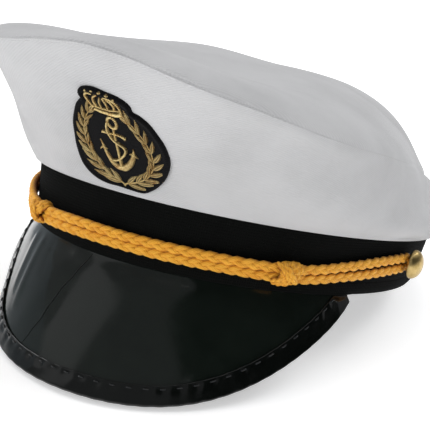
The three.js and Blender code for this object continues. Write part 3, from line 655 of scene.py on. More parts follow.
@dataclass(frozen=True)
class MetalThread(Finish):
    """Lurex embroidery thread: metal film wound on a core, laid side by side in satin stitch."""

    bright: str
    body: str
    # The colour of the painted shade at the bars' edges and in the leaves' veins.
    dark: str
    thread: float
    relief: float

    GLINT = 0.0013
    PATCH = 0.006

    def shading(self, tree: Any) -> tuple[Inputs, Inputs]:
        """Adds threads, each a bright bar between dark gaps, tones that change from stitch to stitch, and painted shade
        in the dark colour where the hollow attribute marks a bar's edges and veins.

        Args:
            tree: The material's node tree.

        Returns:
            The shader's settings and links.
        """
        flat = add_node(tree, "UVMap", {"uv_map": "cut"}).outputs[0]
        place = add_node(tree, "TexCoord", {}).outputs["Object"]
        laid = add_node(tree, "Mapping", {"Scale": (0.0, 1 / self.thread, 0.0)}, {"Vector": flat}).outputs[0]
        threads = add_node(
            tree, "TexWave", {"bands_direction": "Y", "Scale": ONE_BAND, "Distortion": 0.6}, {"Vector": laid}
        ).outputs["Fac"]
        glint, patch = (
            add_node(tree, "TexNoise", {"Scale": 1 / size, "Detail": detail}, {"Vector": place}).outputs["Fac"]
            for size, detail in ((self.GLINT, 2.0), (self.PATCH, 1.0))
        )
        tone = add_node(tree, "Math", {"operation": "MULTIPLY_ADD", 1: 0.5}, {0: threads, 2: glint}).outputs[0]
        tone = add_node(tree, "Math", {"operation": "MULTIPLY_ADD", 1: 0.8}, {0: patch, 2: tone}).outputs[0]
        tone = add_node(tree, "Math", {"operation": "MULTIPLY", 1: 0.6}, {0: tone}).outputs[0]
        golden = add_node(tree, "ValToRGB", {"stops": [(0.4, self.body), (0.72, self.bright)]}, {0: tone}).outputs[0]
        # Painted shade: the hollow attribute mixes in the dark colour.
        depth = add_node(tree, "Attribute", {"attribute_name": "painted_shade"}).outputs["Fac"]
        colour = add_node(tree, "Mix", {"data_type": "RGBA", 7: srgb(self.dark)}, {0: depth, 6: golden})
        facets = add_node(tree, "Math", {"operation": "MULTIPLY_ADD", 1: 1.2}, {0: glint, 2: threads}).outputs[0]
        normal = add_node(tree, "Bump", {"Strength": 1.0, "Distance": self.relief}, {"Height": facets})
        return {"Metallic": 0.7, "Roughness": 0.3}, {"Base Color": colour.outputs[2], "Normal": normal.outputs[0]}


@dataclass(frozen=True)
class WoolFelt(Finish):
    """Pressed black felt: matt, with short fibres that catch a little light at the edges."""

    base: str
    fibre: str
    relief: float

    FIBRE = 0.0009

    def shading(self, tree: Any) -> tuple[Inputs, Inputs]:
        """Adds short tangled fibres.

        Args:
            tree: The material's node tree.

        Returns:
            The shader's settings and links.
        """
        place = add_node(tree, "TexCoord", {}).outputs["Object"]
        tangle = {"Scale": 1 / self.FIBRE, "Detail": 6.0, "Roughness": 0.7, "Distortion": 1.5}
        fibres = add_node(tree, "TexNoise", tangle, {"Vector": place}).outputs["Fac"]
        colour = add_node(tree, "ValToRGB", {"stops": [(0.35, self.base), (0.8, self.fibre)]}, {0: fibres})
        normal = add_node(tree, "Bump", {"Strength": 0.8, "Distance": self.relief}, {"Height": fibres})
        settings = {"Roughness": 1.0, "Sheen Weight": 0.04, "Sheen Roughness": 0.6, "Specular IOR Level": 0.08}
        return settings, {"Base Color": colour.outputs[0], "Normal": normal.outputs[0]}


@dataclass(frozen=True)
class PlatedBrass(Finish):
    """Pressed brass with a thin pale gold plating, polished, with faint rub marks."""

    bright: str
    worn: str
    roughness: float

    RUB = 0.003

    def shading(self, tree: Any) -> tuple[Inputs, Inputs]:
        """Adds rub marks, which change the tone and the gloss a little.

        Args:
            tree: The material's node tree.

        Returns:
            The shader's settings and links.
        """
        place = add_node(tree, "TexCoord", {}).outputs["Object"]
        rub = add_node(
            tree, "TexNoise", {"Scale": 1 / self.RUB, "Detail": 6.0, "Roughness": 0.7}, {"Vector": place}
        ).outputs["Fac"]
        rough = add_node(
            tree, "MapRange", {"To Min": self.roughness - 0.05, "To Max": self.roughness + 0.15}, {"Value": rub}
        )
        colour = add_node(tree, "ValToRGB", {"stops": [(0.35, self.bright), (0.8, self.worn)]}, {0: rub})
        return {"Metallic": 1.0}, {"Base Color": colour.outputs[0], "Roughness": rough.outputs[0]}


@dataclass(frozen=True)
class StudioPaper(Finish):
    """Matt studio paper or card: the floor's, lit from below as on a light table, or a board's."""

    base: str
    grain: str
    glow: float

    GRAINS = 900.0

    def shading(self, tree: Any) -> tuple[Inputs, Inputs]:
        """Adds a trace of paper grain.

        Args:
            tree: The material's node tree.

        Returns:
            The shader's settings and links.
        """
        place = add_node(tree, "TexCoord", {}).outputs["Object"]
        grain = add_node(tree, "TexNoise", {"Scale": self.GRAINS, "Detail": 2.0}, {"Vector": place}).outputs["Fac"]
        colour = add_node(tree, "ValToRGB", {"stops": [(0.2, self.base), (0.9, self.grain)]}, {0: grain})
        glow = {"Emission Color": srgb(self.base), "Emission Strength": self.glow}
        return {"Roughness": 0.95, "Specular IOR Level": 0.1, **glow}, {"Base Color": colour.outputs[0]}


# Polyester-cotton twill: dull white with slanting ribs. Real ribs stand 0.5 mm apart; 0.85 mm shows in the render.
WHITE_TWILL = WovenCloth(
    "white_polycotton_twill", "c5c5c6", "b4b4b5", Weave.TWILL, 0.00085, 0.0001, 0.9, 0.06, "ffffff", 0.035, 0.2
)
# Black worsted: nearly black, with a faint grey bloom where light grazes it. Real threads are 0.4 mm; drawn at 1.1 mm.
BLACK_WORSTED = WovenCloth(
    "black_worsted_cloth", "0d0e0d", "070707", Weave.PLAIN, 0.0011, 0.00015, 1.0, 0.01, "8a8c92", 0.02, 0.08
)
# Patent PVC on cloth backing: a wet black gloss over long shallow waves.
PATENT_VINYL = GlossyVinyl("black_patent_vinyl", "0c110e", "151b17", 0.1, 0.03, 0.0005)
# The same film folded into a strip: duller, with short waves.
BINDING_VINYL = GlossyVinyl("black_vinyl_binding", "040605", "0a0d0b", 0.15, 0.01, 0.0002)
# The film along an old fold: a dull dark hairline, painted shade of the crease.
CREASE_SHADE_VINYL = GlossyVinyl("painted_crease_shade_vinyl", "020302", "050605", 0.65, 0.01, 0.0001)
# Bonded nylon thread: a smooth dark bead that catches a glint.
STITCH_THREAD = GlossyVinyl("black_nylon_thread", "202324", "0f1112", 0.16, 0.002, 0.0001)
# Bulked polyester yarn: warm yellow, with painted shade in deep orange between and behind the plies. Its real filaments
# are finer than 0.1 mm; drawn at 0.6 mm.
GOLD_YARN = PlaitedYarn("golden_polyester_yarn", "f8b63a", "dc8a0e", "7c2204", 0.0006, 0.00014)
# Metallised thread in satin stitch: painted pale glints on a brown gold, and painted shade in dark brown at the bars'
# edges and veins. Real threads are 0.3 mm; drawn at 0.62 mm.
LUREX_THREAD = MetalThread("gold_lurex_thread", "ffe6a2", "b27424", "2a0b03", 0.00062, 0.0003)
# Wool felt: the darkest and dullest cloth on the cap.
BLACK_FELT = WoolFelt("black_wool_felt", "050506", "111012", 0.00025)
# Gilt brass: a pale gold mirror, softened by handling.
GILT_BRASS = PlatedBrass("gilt_brass", "d0b67c", "937a44", 0.27)
# Studio card and paper: two boards for the gloss to mirror, and the glowing floor.
BLACK_BOARD = StudioPaper("black_studio_board", "1a1d1a", "222522", 0.0)
GREY_BOARD = StudioPaper("grey_studio_board", "a9b1b8", "b2babf", 0.0)
WHITE_PAPER = StudioPaper("white_studio_paper", "f4f4f4", "ffffff", 0.48)


class Finishes:
    """Makes each material once and hands it out."""

    def __init__(self) -> None:
        """Starts with no material made."""
        self.made: dict[str, Any] = {}

    def of(self, finish: Finish) -> Any:
        """Returns the material of a finish, which it makes the first time.

        Args:
            finish: The finish.

        Returns:
            Its material.
        """
        if finish.name not in self.made:
            self.made[finish.name] = finish.material()
        return self.made[finish.name]


FINISHES = Finishes()


@dataclass
class Draft:
    """Points, faces and flat coordinates of one piece before it becomes an object."""

    points: list[Array] = field(default_factory=list)
    faces: list[Array] = field(default_factory=list)
    flats: list[Array] = field(default_factory=list)
    painted_shades: list[Array] = field(default_factory=list)
    count: int = 0

    def add_grid(
        self, grid: Array, flat: Array, closed: bool = False, painted_shade: Array | None = None, flip: bool = False
    ) -> None:
        """Adds a grid of points whose columns run right and rows run up as seen from outside.

        Args:
            grid: Points in metres, columns by rows by 3.
            flat: Flat coordinates in metres, with one more column than the grid where it is closed.
            closed: Whether the last column joins the first.
            painted_shade: How much painted shade each point gets, from 0 to 1.
            flip: Whether the faces are turned round.
        """
        columns, rows = grid.shape[:2]
        spans = columns if closed else columns - 1
        column, row = np.meshgrid(np.arange(spans), np.arange(rows - 1), indexing="ij")
        after = (column + 1) % columns
        quads = np.stack(
            [column * rows + row, after * rows + row, after * rows + row + 1, column * rows + row + 1], -1
        ).reshape(-1, 4)
        corners = np.stack(
            [flat[column, row], flat[column + 1, row], flat[column + 1, row + 1], flat[column, row + 1]], -2
        ).reshape(-1, 4, 2)
        if flip:
            quads, corners = quads[:, ::-1], corners[:, ::-1]
        self.points.append(grid.reshape(-1, 3))
        self.faces.append(quads + self.count)
        self.flats.append(corners)
        self.painted_shades.append(np.zeros(columns * rows) if painted_shade is None else painted_shade.reshape(-1))
        self.count += columns * rows

    def add_fan(self, ring: Array, middle: Array, flip: bool = False) -> None:
        """Closes a ring of points with triangles to a middle point.

        Args:
            ring: Points in metres, in order.
            middle: The middle point.
            flip: Whether the faces are turned round.
        """
        count = len(ring)
        index = np.arange(count)
        tris = np.stack([index, (index + 1) % count, np.full(count, count)], -1)
        if flip:
            tris = tris[:, ::-1]
        self.points.append(np.vstack([ring, middle]))
        self.faces.append(tris + self.count)
        self.flats.append(np.zeros((count, 3, 2)))
        self.painted_shades.append(np.zeros(count + 1))
        self.count += count + 1

    def add_tube(self, route: Array, outward: Array, radii: Array, painted_shade: Array | None = None) -> None:
        """Adds a closed tube along a route.

        Args:
            route: Points in metres along the tube's middle.
            outward: The direction at each point from which the turn round the tube is counted.
            radii: Radii in metres, points by sides.
            painted_shade: How much painted shade each point of the tube gets, points by sides.
        """
        sides = radii.shape[1]
        along = unit(np.gradient(route, axis=0))
        side = unit(np.cross(along, outward))
        out = np.cross(side, along)
        turn = np.arange(sides) * 2 * np.pi / sides
        ring = np.cos(turn)[None, :, None] * out[:, None] + np.sin(turn)[None, :, None] * side[:, None]
        grid = route[:, None] + ring * radii[..., None]
        around = np.arange(sides + 1) / sides * 2 * np.pi * float(radii.mean())
        flat = np.stack(np.broadcast_arrays(around[:, None], run_length(route)[None, :]), -1)
        self.add_grid(np.swapaxes(grid, 0, 1), flat, closed=True, painted_shade=None if painted_shade is None else painted_shade.T)
        self.add_fan(grid[0], route[0], flip=True)
        self.add_fan(grid[-1], route[-1])

    def build(self, name: str, finish: Finish, weld: float = 1e-6) -> Any:
        """Makes the object.

        Args:
            name: The piece's name.
            finish: The finish it is dressed in.
            weld: Points closer than this, in metres, become one.

        Returns:
            The new object, smooth shaded.
        """
        data = bpy.data.meshes.new(name)
        points = np.vstack(self.points)
        faces = [face for group in self.faces for face in group.tolist()]
        data.from_pydata(points.tolist(), [], faces)
        layer = data.uv_layers.new(name="cut")
        corners = np.concatenate([group.reshape(-1, 2) for group in self.flats])
        layer.data.foreach_set("uv", corners.astype(np.float32).ravel())
        # The hollow attribute carries painted shade, which the yarn and thread shaders mix in as a darker colour.
        depth = data.attributes.new("painted_shade", "FLOAT", "POINT")
        depth.data.foreach_set("value", np.concatenate(self.painted_shades).astype(np.float32))
        piece = bpy.data.objects.new(name, data)
        bpy.context.scene.collection.objects.link(piece)
        tool = bmesh.new()
        tool.from_mesh(data)
        bmesh.ops.remove_doubles(tool, verts=tool.verts, dist=weld)
        tool.to_mesh(data)
        tool.free()
        data.shade_smooth()
        data.materials.append(FINISHES.of(finish))
        return piece


def pick(piece: Any) -> None:
    """Selects one object alone and makes it active.

    Args:
        piece: The object.
    """
    for other in bpy.context.selected_objects:
        other.select_set(False)
    piece.select_set(True)
    bpy.context.view_layer.objects.active = piece


def thicken(piece: Any, wall: float) -> None:
    """Gives a sheet its wall, inwards from its outer face.

    Args:
        piece: The object.
        wall: The wall in metres.
    """
    pick(piece)
    modifier = piece.modifiers.new("wall", "SOLIDIFY")
    modifier.thickness, modifier.offset, modifier.use_even_offset = wall, -1.0, False
    bpy.ops.object.modifier_apply(modifier=modifier.name)


def sheet_piece(
    name: str,
    finish: Finish,
    wall: float,
    points: Array,
    flat: Array,
    closed: bool = False,
    middle: Array | None = None,
) -> Any:
    """Makes a piece from one sheet of even wall.

    Args:
        name: The piece's name.
        finish: The finish it is dressed in.
        wall: The wall in mm.
        points: The outer face's points in metres, columns by rows by 3.
        flat: Flat coordinates in metres.
        closed: Whether the last column joins the first.
        middle: A point in metres that closes the last row.

    Returns:
        The new object.
    """
    draft = Draft()
    draft.add_grid(points, flat, closed=closed)
    if middle is not None:
        draft.add_fan(points[:, -1], middle)
    piece = draft.build(name, finish)
    thicken(piece, wall / 1000)
    return piece


def seat(piece: Any, slot: str, *nodes: str) -> Any:
    """Puts a finished piece in the frame.

    Args:
        piece: The object.
        slot: The record's material slot; not used.
        *nodes: CAD nodes that it stands for.

    Returns:
        The piece.
    """
    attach(piece, "root")
    if nodes:
        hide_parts(*nodes)
    LOG.info("%s: %d faces", piece.name, len(piece.data.polygons))
    return piece


def ripple(angle: Array, seed: int, waves: int, lowest: int) -> Array:
    """Returns an uneven wave round the cap that repeats after a full turn.

    Args:
        angle: Angles in degrees.
        seed: Seed of its phases.
        waves: How many sine waves it sums.
        lowest: The fewest waves round the cap.

    Returns:
        Heights of about -1 to 1.
    """
    dice = np.random.default_rng(seed)
    total = 0.0
    for index in range(waves):
        times = lowest + int(dice.integers(0, lowest))
        total = total + np.sin(np.radians(angle) * times + dice.uniform(0, 2 * np.pi))
    return total / math.sqrt(waves)


def normals(grid: Array) -> Array:
    """Returns the outward normals of a closed grid whose columns run right and rows run up."""
    right = np.roll(grid, -1, axis=0) - np.roll(grid, 1, axis=0)
    return unit(np.cross(right, np.gradient(grid, axis=1)))


def spans(grid: Array) -> Array:
    """Returns the running length up each column of a grid, from 0."""
    return np.cumsum(np.pad(np.linalg.norm(np.diff(grid, axis=1), axis=-1), ((0, 0), (1, 0))), axis=1)


def unrolled(shape: CapShape, angles: Array, grid: Array) -> Array:
    """Returns the flat coordinates of a sheet that goes all the way round the cap.

    Args:
        shape: The cap's sizes.
        angles: The angle of each column in degrees.
        grid: Points in mm, columns by rows by 3.

    Returns:
        Coordinates in metres, with one more column than the grid.
    """
    rise = spans(grid)
    around = np.radians(np.append(angles, 180.0)) * shape.band_length / 2
    return stack(around[:, None], np.vstack([rise, rise[:1]]), 0.0)[..., :2] / 1000


@dataclass
class Crown:
    """The soft white crown: a side wall and a top panel, sewn together along a turned-in seam."""

    shape: CapShape
    wall: float = 1.3
    columns: int = 540
    seam_pinch: float = 0.3
    pinch_width: float = 1.3
    seam_lip: float = 0.25
    lip_place: float = 3.6
    lip_width: float = 2.6
    pucker: float = 0.18
    pucker_length: float = 6.5
    slack: float = 0.55
    back_seam: float = 0.9
    back_lip: float = 0.3
    hem_pucker: float = 0.16

    # A degree round the back as a share of the band's width.
    BACK_DEGREE = 0.0075

    def build(self) -> list[Any]:
        """Builds both panels and returns them."""
        return [self.side_panel(), self.top_panel()]

    def angles(self) -> Array:
        """Returns the angles of the panels' columns."""
        return np.linspace(-180, 180, self.columns, endpoint=False)

    def seam_relief(self, angle: Array, away: Array, seed: int) -> Array:
        """Returns how far the cloth lifts near the seam.

        Args:
            angle: Angles in degrees.
            away: Distance from the seam along the cloth, in mm.
            seed: Seed of the puckers.

        Returns:
            Lift off the plain surface in mm.
        """
        pinch = -self.seam_pinch * bump(away, self.pinch_width)
        lip = self.seam_lip * bump(away - self.lip_place, self.lip_width)
        fade = np.exp(-away / self.pucker_length) * (1 - np.exp(-away / 1.2))
        return pinch + lip + ripple(angle, seed, 5, 26) * self.pucker * fade

    def slack_cloth(self, angle: Array, along: Array, seed: int) -> Array:
        """Returns the broad shallow waves of cloth that isn't quite taut.

        Args:
            angle: Angles in degrees.
            along: Share of the way across the panel.
            seed: Seed of the waves.

        Returns:
            Lift in mm.
        """
        dice = np.random.default_rng(seed)
        lift = 0.0
        for times in (3, 5, 8, 11):
            drift = dice.uniform(-1.2, 1.2)
            phase = dice.uniform(0, 2 * np.pi)
            lift = lift + np.sin(np.radians(angle) * times + along * drift * 4 + phase) / math.sqrt(times)
        return self.slack * lift * np.sin(np.pi * np.clip(along, 0, 1)) ** 0.7

    def side_panel(self) -> Any:
        """Builds the side wall, with its hem rolled over the band and its closing seam at the back.

        Returns:
            The panel.
        """
        # The hem's roll, then the wall: close rows at the hem, wide ones in the middle, close ones again at the seam.
        travel = np.concatenate([
            np.linspace(-1, 0, 9)[:-1],
            np.linspace(0, 0.12, 9)[:-1],
            np.linspace(0.12, 0.86, 50)[:-1],
            0.86 + 0.14 * (1 - (1 - np.linspace(0, 1, 26)) ** 1.7),
        ])
        angle, rows = np.meshgrid(self.angles(), travel, indexing="ij")
        grid = self.shape.side(angle, rows)
        rise = spans(grid)
        lift = self.seam_relief(angle, rise[:, -1:] - rise, 11) + self.slack_cloth(angle, rows, 5)
        from_back = np.abs(np.abs(angle) - 180) * self.shape.band_width * self.BACK_DEGREE
        sewn = self.back_lip * bump(from_back - 3, 1.8) - self.back_seam * bump(from_back, 1.0)
        lift = lift + sewn * np.clip(rows * 6, 0, 1)
        lift = lift + self.hem_pucker * ripple(angle, 21, 4, 16) * bump(rows - 0.02, 0.06)
        grid = grid + normals(grid) * lift[..., None]
        flat = unrolled(self.shape, self.angles(), grid)
        points = self.shape.at_rest(grid)
        piece = sheet_piece("crown_side_cloth", WHITE_TWILL, self.wall, points, flat, closed=True)
        return seat(piece, "white_cloth", "crown_side")

    def top_panel(self) -> Any:
        """Builds the puffed top panel up to its middle.

        Returns:
            The panel.
        """
        inward = np.concatenate([0.10 * np.linspace(0, 1, 30)[:-1] ** 1.5, np.linspace(0.10, 0.97, 60)])
        angle, rows = np.meshgrid(self.angles(), inward, indexing="ij")
        grid = self.shape.top(angle, rows)
        grid = grid + normals(grid) * self.seam_relief(angle, spans(grid), 17)[..., None]
        x, y = grid[..., 0], grid[..., 1]
        folds = np.sin(x / 19 + np.sin(y / 31)) * np.sin(y / 27 + 1.3 * np.sin(x / 37))
        grid[..., 2] += self.slack * 1.1 * folds * (1 - (1 - rows) ** 4)
        middle = self.shape.top(np.array([0.0]), np.array([1.0]))[0]
        middle[2] = grid[:, -1, 2].mean()
        flat = np.concatenate([grid, grid[:1]])[..., :2] / 1000
        points, middle = self.shape.at_rest(grid), self.shape.at_rest(middle)
        piece = sheet_piece("crown_top_cloth", WHITE_TWILL, self.wall, points, flat, closed=True, middle=middle)
        return seat(piece, "white_cloth", "crown_top")


@dataclass
class Band:
    """The black cloth band, which sits on the head and carries everything else."""

    shape: CapShape
    wall: float = 2.0
    tuck: float = 5.0
    columns: int = 540
    hem: float = 5.5
    hem_line: float = 0.3
    lip: float = 0.25
    edge_turn: float = 0.7
    slack: float = 0.22
    table_gap: float = 0.0003

    def build(self) -> list[Any]:
        """Builds the band, with its hem line and its turned edges.

        Returns:
            The band alone.
        """
        angle_row = np.linspace(-180, 180, self.columns, endpoint=False)
        share = np.concatenate([np.linspace(0, 0.35, 22)[:-1], np.linspace(0.35, 1, 20)])
        angle, rows = np.meshgrid(angle_row, share, indexing="ij")
        over_peak = np.clip((self.shape.peak_half_angle + 2 - np.abs(angle)) / 4, 0, 1)
        lip = over_peak * self.lip
        height = rows * (self.shape.band_top(angle) + self.tuck + lip) - lip
        hem = 0.12 * bump(height - self.hem + 2.4, 1.6) - self.hem_line * bump(height - self.hem, 0.5)
        edge = -self.edge_turn * (1 - 0.8 * over_peak) * bump(height + lip, 0.9)
        give = self.slack * ripple(angle, 31, 5, 6) * np.clip(height / 12, 0, 1)
        grid = self.shape.band(angle, hem + edge + give, height)
        points = self.shape.at_rest(grid)
        points[..., 2] = np.maximum(points[..., 2], self.table_gap)
        flat = unrolled(self.shape, angle_row, grid)
        piece = sheet_piece("band_cloth", BLACK_WORSTED, self.wall, points, flat, closed=True)
        return [seat(piece, "black_cloth", "band")]


@dataclass
class Peak:
    """The glossy peak: one bent sheet with soft folds, and a folded strip sewn round its edge."""

    shape: CapShape
    wall: float = 1.3
    tuck: float = 1.3
    press: float = 0.11
    hide: float = 0.5
    hide_length: float = 5.5
    buckle: float = 0.35
    columns: int = 420
    rows: int = 90
    crease_width: float = 0.68
    crease_steps: int = 90
    strip: float = 7.2
    widen: float = 2.4
    strip_wall: float = 1.0
    strip_columns: int = 720
    stitch: float = 6.4
    stitch_height: float = 0.5
    thread: float = 0.75

    # A degree round the front in mm.
    FRONT_DEGREE = 1.75

    # Folds run from one angle and distance from the band to another; depth, width and distances are in mm.
    FOLDS = (
        {"angle": -13.5, "end": -19.5, "from": -2.0, "to": 44.0, "depth": 0.1, "width": 5.0},
        {"angle": -31.0, "end": -24.0, "from": -4.0, "to": 34.0, "depth": 0.3, "width": 2.6},
        {"angle": -37.0, "end": -29.0, "from": -4.0, "to": 30.0, "depth": 0.34, "width": 3.0},
        {"angle": -25.0, "end": -20.0, "from": -4.0, "to": 18.0, "depth": -0.08, "width": 2.6},
        {"angle": 29.5, "end": 33.0, "from": 16.0, "to": 26.0, "depth": -0.16, "width": 1.4},
        {"angle": 26.8, "end": 24.5, "from": 34.0, "to": 39.0, "depth": 0.2, "width": 1.8},
        {"angle": 18.5, "end": 20.5, "from": -1.0, "to": 3.5, "depth": -0.25, "width": 1.6},
        {"angle": 44.0, "end": 50.0, "from": -3.0, "to": 16.0, "depth": -0.2, "width": 3.2},
    )

    def build(self) -> list[Any]:
        """Builds the sheet, its crease, the strip and the stitches."""
        return [self.sheet(), self.crease(), self.binding(), self.stitches()]

    def surface(self, angle: Array, down: Array) -> Array:
        """Returns the peak's face: its top lies behind the band's edge, and one side is pressed in a little.

        Args:
            angle: Angles in degrees.
            down: Distance from the band in mm.

        Returns:
            Level points in mm.
        """
        share = np.clip((-angle - 26) / 22, 0, 1)
        pressed = self.press * share**2 * (3 - 2 * share) * down
        pressed = pressed + self.hide * bump(np.maximum(down, 0), self.hide_length)
        return self.shape.peak(angle, down) - self.shape.peak_facing(angle) * pressed[..., None]

    def folds(self, angle: Array, down: Array) -> Array:
        """Returns the lift of the soft folds that storage has left in the vinyl.

        Args:
            angle: Angles in degrees.
            down: Distance from the band in mm.

        Returns:
            Lift in mm.
        """
        lift = 0.0
        for fold in self.FOLDS:
            over = (down - fold["from"]) / (fold["to"] - fold["from"])
            line = fold["angle"] + (fold["end"] - fold["angle"]) * np.clip(over, 0, 1)
            fade = np.clip(1.15 - np.abs(2 * over - 1) ** 3, 0, 1) * ((over > -0.1) & (over < 1.1))
            lift = lift + fold["depth"] * fade * bump((angle - line) * self.FRONT_DEGREE, fold["width"])
        return lift + self.buckle * np.sin(angle / 9.5 + 0.6) * np.sin(down / 17 + 0.4)

    def face(self, angle: Array, down: Array, lift: float) -> Array:
        """Returns points of the folded face, or points off it.

        Args:
            angle: Angles in degrees.
            down: Distance from the band in mm.
            lift: Height over the face in mm.

        Returns:
            Level points in mm.
        """
        # The folds fade out where the strip and the band hold the sheet.
        near_edge = np.clip((self.shape.peak_reach(angle) - down) / 6, 0, 1) * np.clip(down / 5, 0.25, 1)
        out = self.folds(angle, down) * near_edge + lift
        return self.surface(angle, down) + self.shape.peak_facing(angle) * out[..., None]

    def hair(self, draft: Draft, route: Array, ahead: Array, radii: Array) -> None:
        """Adds a thin six-sided tube to a draft.

        Args:
            draft: The draft that it goes into.
            route: Level points in mm along its middle.
            ahead: Level points in mm that lie outward of the route.
            radii: Radii in metres along it.
        """
        rest = self.shape.at_rest(route)
        outward = (self.shape.at_rest(ahead) - rest) * 1000
        draft.add_tube(rest, outward, np.repeat(radii[:, None], 6, axis=1))

    def crease(self) -> Any:
        """Builds the dark hairline where the vinyl was once folded over, which paints the crease's shade.

        Returns:
            The hairline, sunk halfway into the sheet's face.
        """
        share = np.linspace(0, 1, self.crease_steps)
        angle = -7.4 - 6.6 * share**0.85 + 0.22 * np.sin(share * 11) + 0.1 * np.sin(share * 29)
        down = 0.6 + share * (self.shape.peak_reach(angle) - self.flap(angle))
        radii = self.crease_width / 2000 * (0.35 + 0.65 * np.sin(np.pi * share) ** 0.5)
        draft = Draft()
        self.hair(draft, self.face(angle, down, -0.06), self.face(angle, down, 1.0), radii)
        return seat(draft.build("peak_crease", CREASE_SHADE_VINYL, FINE_WELD), "glossy_vinyl")

    def sheet(self) -> Any:
        """Builds the bent sheet, whose top is tucked in behind the band.

        Returns:
            The sheet.
        """
        angle_row = self.shape.peak_half_angle * np.linspace(-1, 1, self.columns)
        angle, level = np.meshgrid(angle_row, np.linspace(1, 0, self.rows) ** 1.2, indexing="ij")
        down = level * (self.shape.peak_reach(angle) - 0.3) - self.tuck * (1 - level)
        flat = np.stack([np.radians(angle) * self.shape.band_length / 2, down], -1) / 1000
        points = self.shape.at_rest(self.face(angle, down, 0.0))
        return seat(sheet_piece("peak_sheet", PATENT_VINYL, self.wall, points, flat), "glossy_vinyl", "peak")

    def flap(self, angle: Array) -> Array:
        """Returns how far the strip covers the sheet inside its edge, wider at the ends."""
        wide = self.strip + self.widen * np.clip((np.abs(angle) - 20) / 28, 0, 1)
        return np.minimum(wide, self.shape.peak_reach(angle) + 0.6)

    def edge_length(self, angle: Array) -> Array:
        """Returns the running length of the peak's edge at each angle, in mm."""
        return run_length(self.surface(angle, self.shape.peak_reach(angle)))

    def even_angles(self, count: int) -> Array:
        """Returns angles that cut the peak's edge in even lengths.

        Args:
            count: How many angles.

        Returns:
            The angles in degrees, from end to end.
        """
        fine = np.linspace(-self.shape.peak_half_angle, self.shape.peak_half_angle, 4000)
        length = self.edge_length(fine)
        return np.interp(np.linspace(0, length[-1], count), length, fine)

    def binding(self) -> Any:
        """Builds the strip: over the top face, round the edge and back underneath, drawn in at each stitch.

        Returns:
            The strip.
        """
        angle_row = self.even_angles(self.strip_columns)
        length = self.edge_length(angle_row)
        reach = self.shape.peak_reach(angle_row)
        flap = self.flap(angle_row)
        ease = np.clip(reach / 12, 0.2, 1)
        half_wall, core = self.strip_wall * 0.55, self.wall / 2
        phase = length / self.stitch * 2 * np.pi
        dice = np.random.default_rng(3)
        uneven = np.interp(length, np.linspace(0, length[-1], 60), dice.uniform(0.45, 1.25, 60))
        drawn = (0.5 - 0.5 * np.cos(phase)) * uneven
        facing = self.shape.peak_facing(angle_row)
        edge = self.surface(angle_row, reach)
        along = unit(edge - self.surface(angle_row, reach - flap))
        columns = []
        # The strip's rows: 0 to 1 over the top face, 1 to 2 round the edge, 2 to 3 back underneath.
        for place in np.concatenate([np.linspace(0, 1, 15), *(side + np.linspace(0, 1, 8)[1:] for side in (1, 2))]):
            if place <= 1:
                back = -flap * (1 - place)
                sewn = bump((1 - place) * self.strip - self.strip + 1.6, 1.5)
                puff = 0.3 + 0.08 * np.sin(np.pi * min(place * 1.02, 1)) * drawn - 0.3 * sewn * (1 - drawn)
                puff = puff + 0.12 * np.sin(phase * 0.37 + 3 * place) * np.sin(np.pi * place)
                lift = (half_wall + puff) * ease * np.clip((reach + back) / 2.5, 0.1, 1)
            elif place <= 2:
                turn = (place - 1) * np.pi / 2
                back = self.strip_wall * np.sin(turn) * 0.7 + 0.06 * np.sin(phase + 1.0) * uneven
                lift = (half_wall + 0.3) * ease - (core + 0.9) * (1 - np.cos(turn))
            else:
                turn = (place - 2) * np.pi / 2
                back = self.strip_wall * 0.7 * np.cos(turn) - flap * 0.75 * (1 - np.cos(turn))
                lift = -0.7 - (core + 0.75) * np.sin(turn) + 0 * phase
            columns.append(edge + along * back[..., None] + facing * lift[..., None])
        grid = np.stack(columns, 1)[:, ::-1]
        flat = stack(length[:, None], spans(grid), 0.0)[..., :2] / 1000
        wall = self.strip_wall * 0.45
        piece = sheet_piece("peak_edge_strip", BINDING_VINYL, wall, self.shape.at_rest(grid), flat)
        return seat(piece, "glossy_vinyl", "peak_binding")

    def stitches(self) -> Any:
        """Builds the row of thread stitches that holds the strip.

        Returns:
            The stitches as one piece.
        """
        fine = self.even_angles(3000)
        length = self.edge_length(fine)
        share = np.linspace(-1, 1, 9)
        rise = self.stitch_height + 0.35 * np.sin(np.linspace(0, np.pi, 9))
        radii = self.thread / 2000 * np.array([0.5, 0.9, 1, 1, 1, 1, 1, 0.9, 0.5])
        draft = Draft()
        middle = self.stitch
        while middle + self.stitch * 0.5 < length[-1]:
            angle = np.interp(middle + self.stitch * 0.2 * share, length, fine)
            reach = self.shape.peak_reach(angle)
            if reach.min() > 6:
                down = reach - np.minimum(self.flap(angle) - 1.4, reach * 0.8)
                facing = self.shape.peak_facing(angle)
                route = self.surface(angle, down) + facing * rise[..., None]
                self.hair(draft, route, route + facing, radii)
            middle += self.stitch
        return seat(draft.build("peak_edge_stitches", STITCH_THREAD, FINE_WELD), "glossy_vinyl")


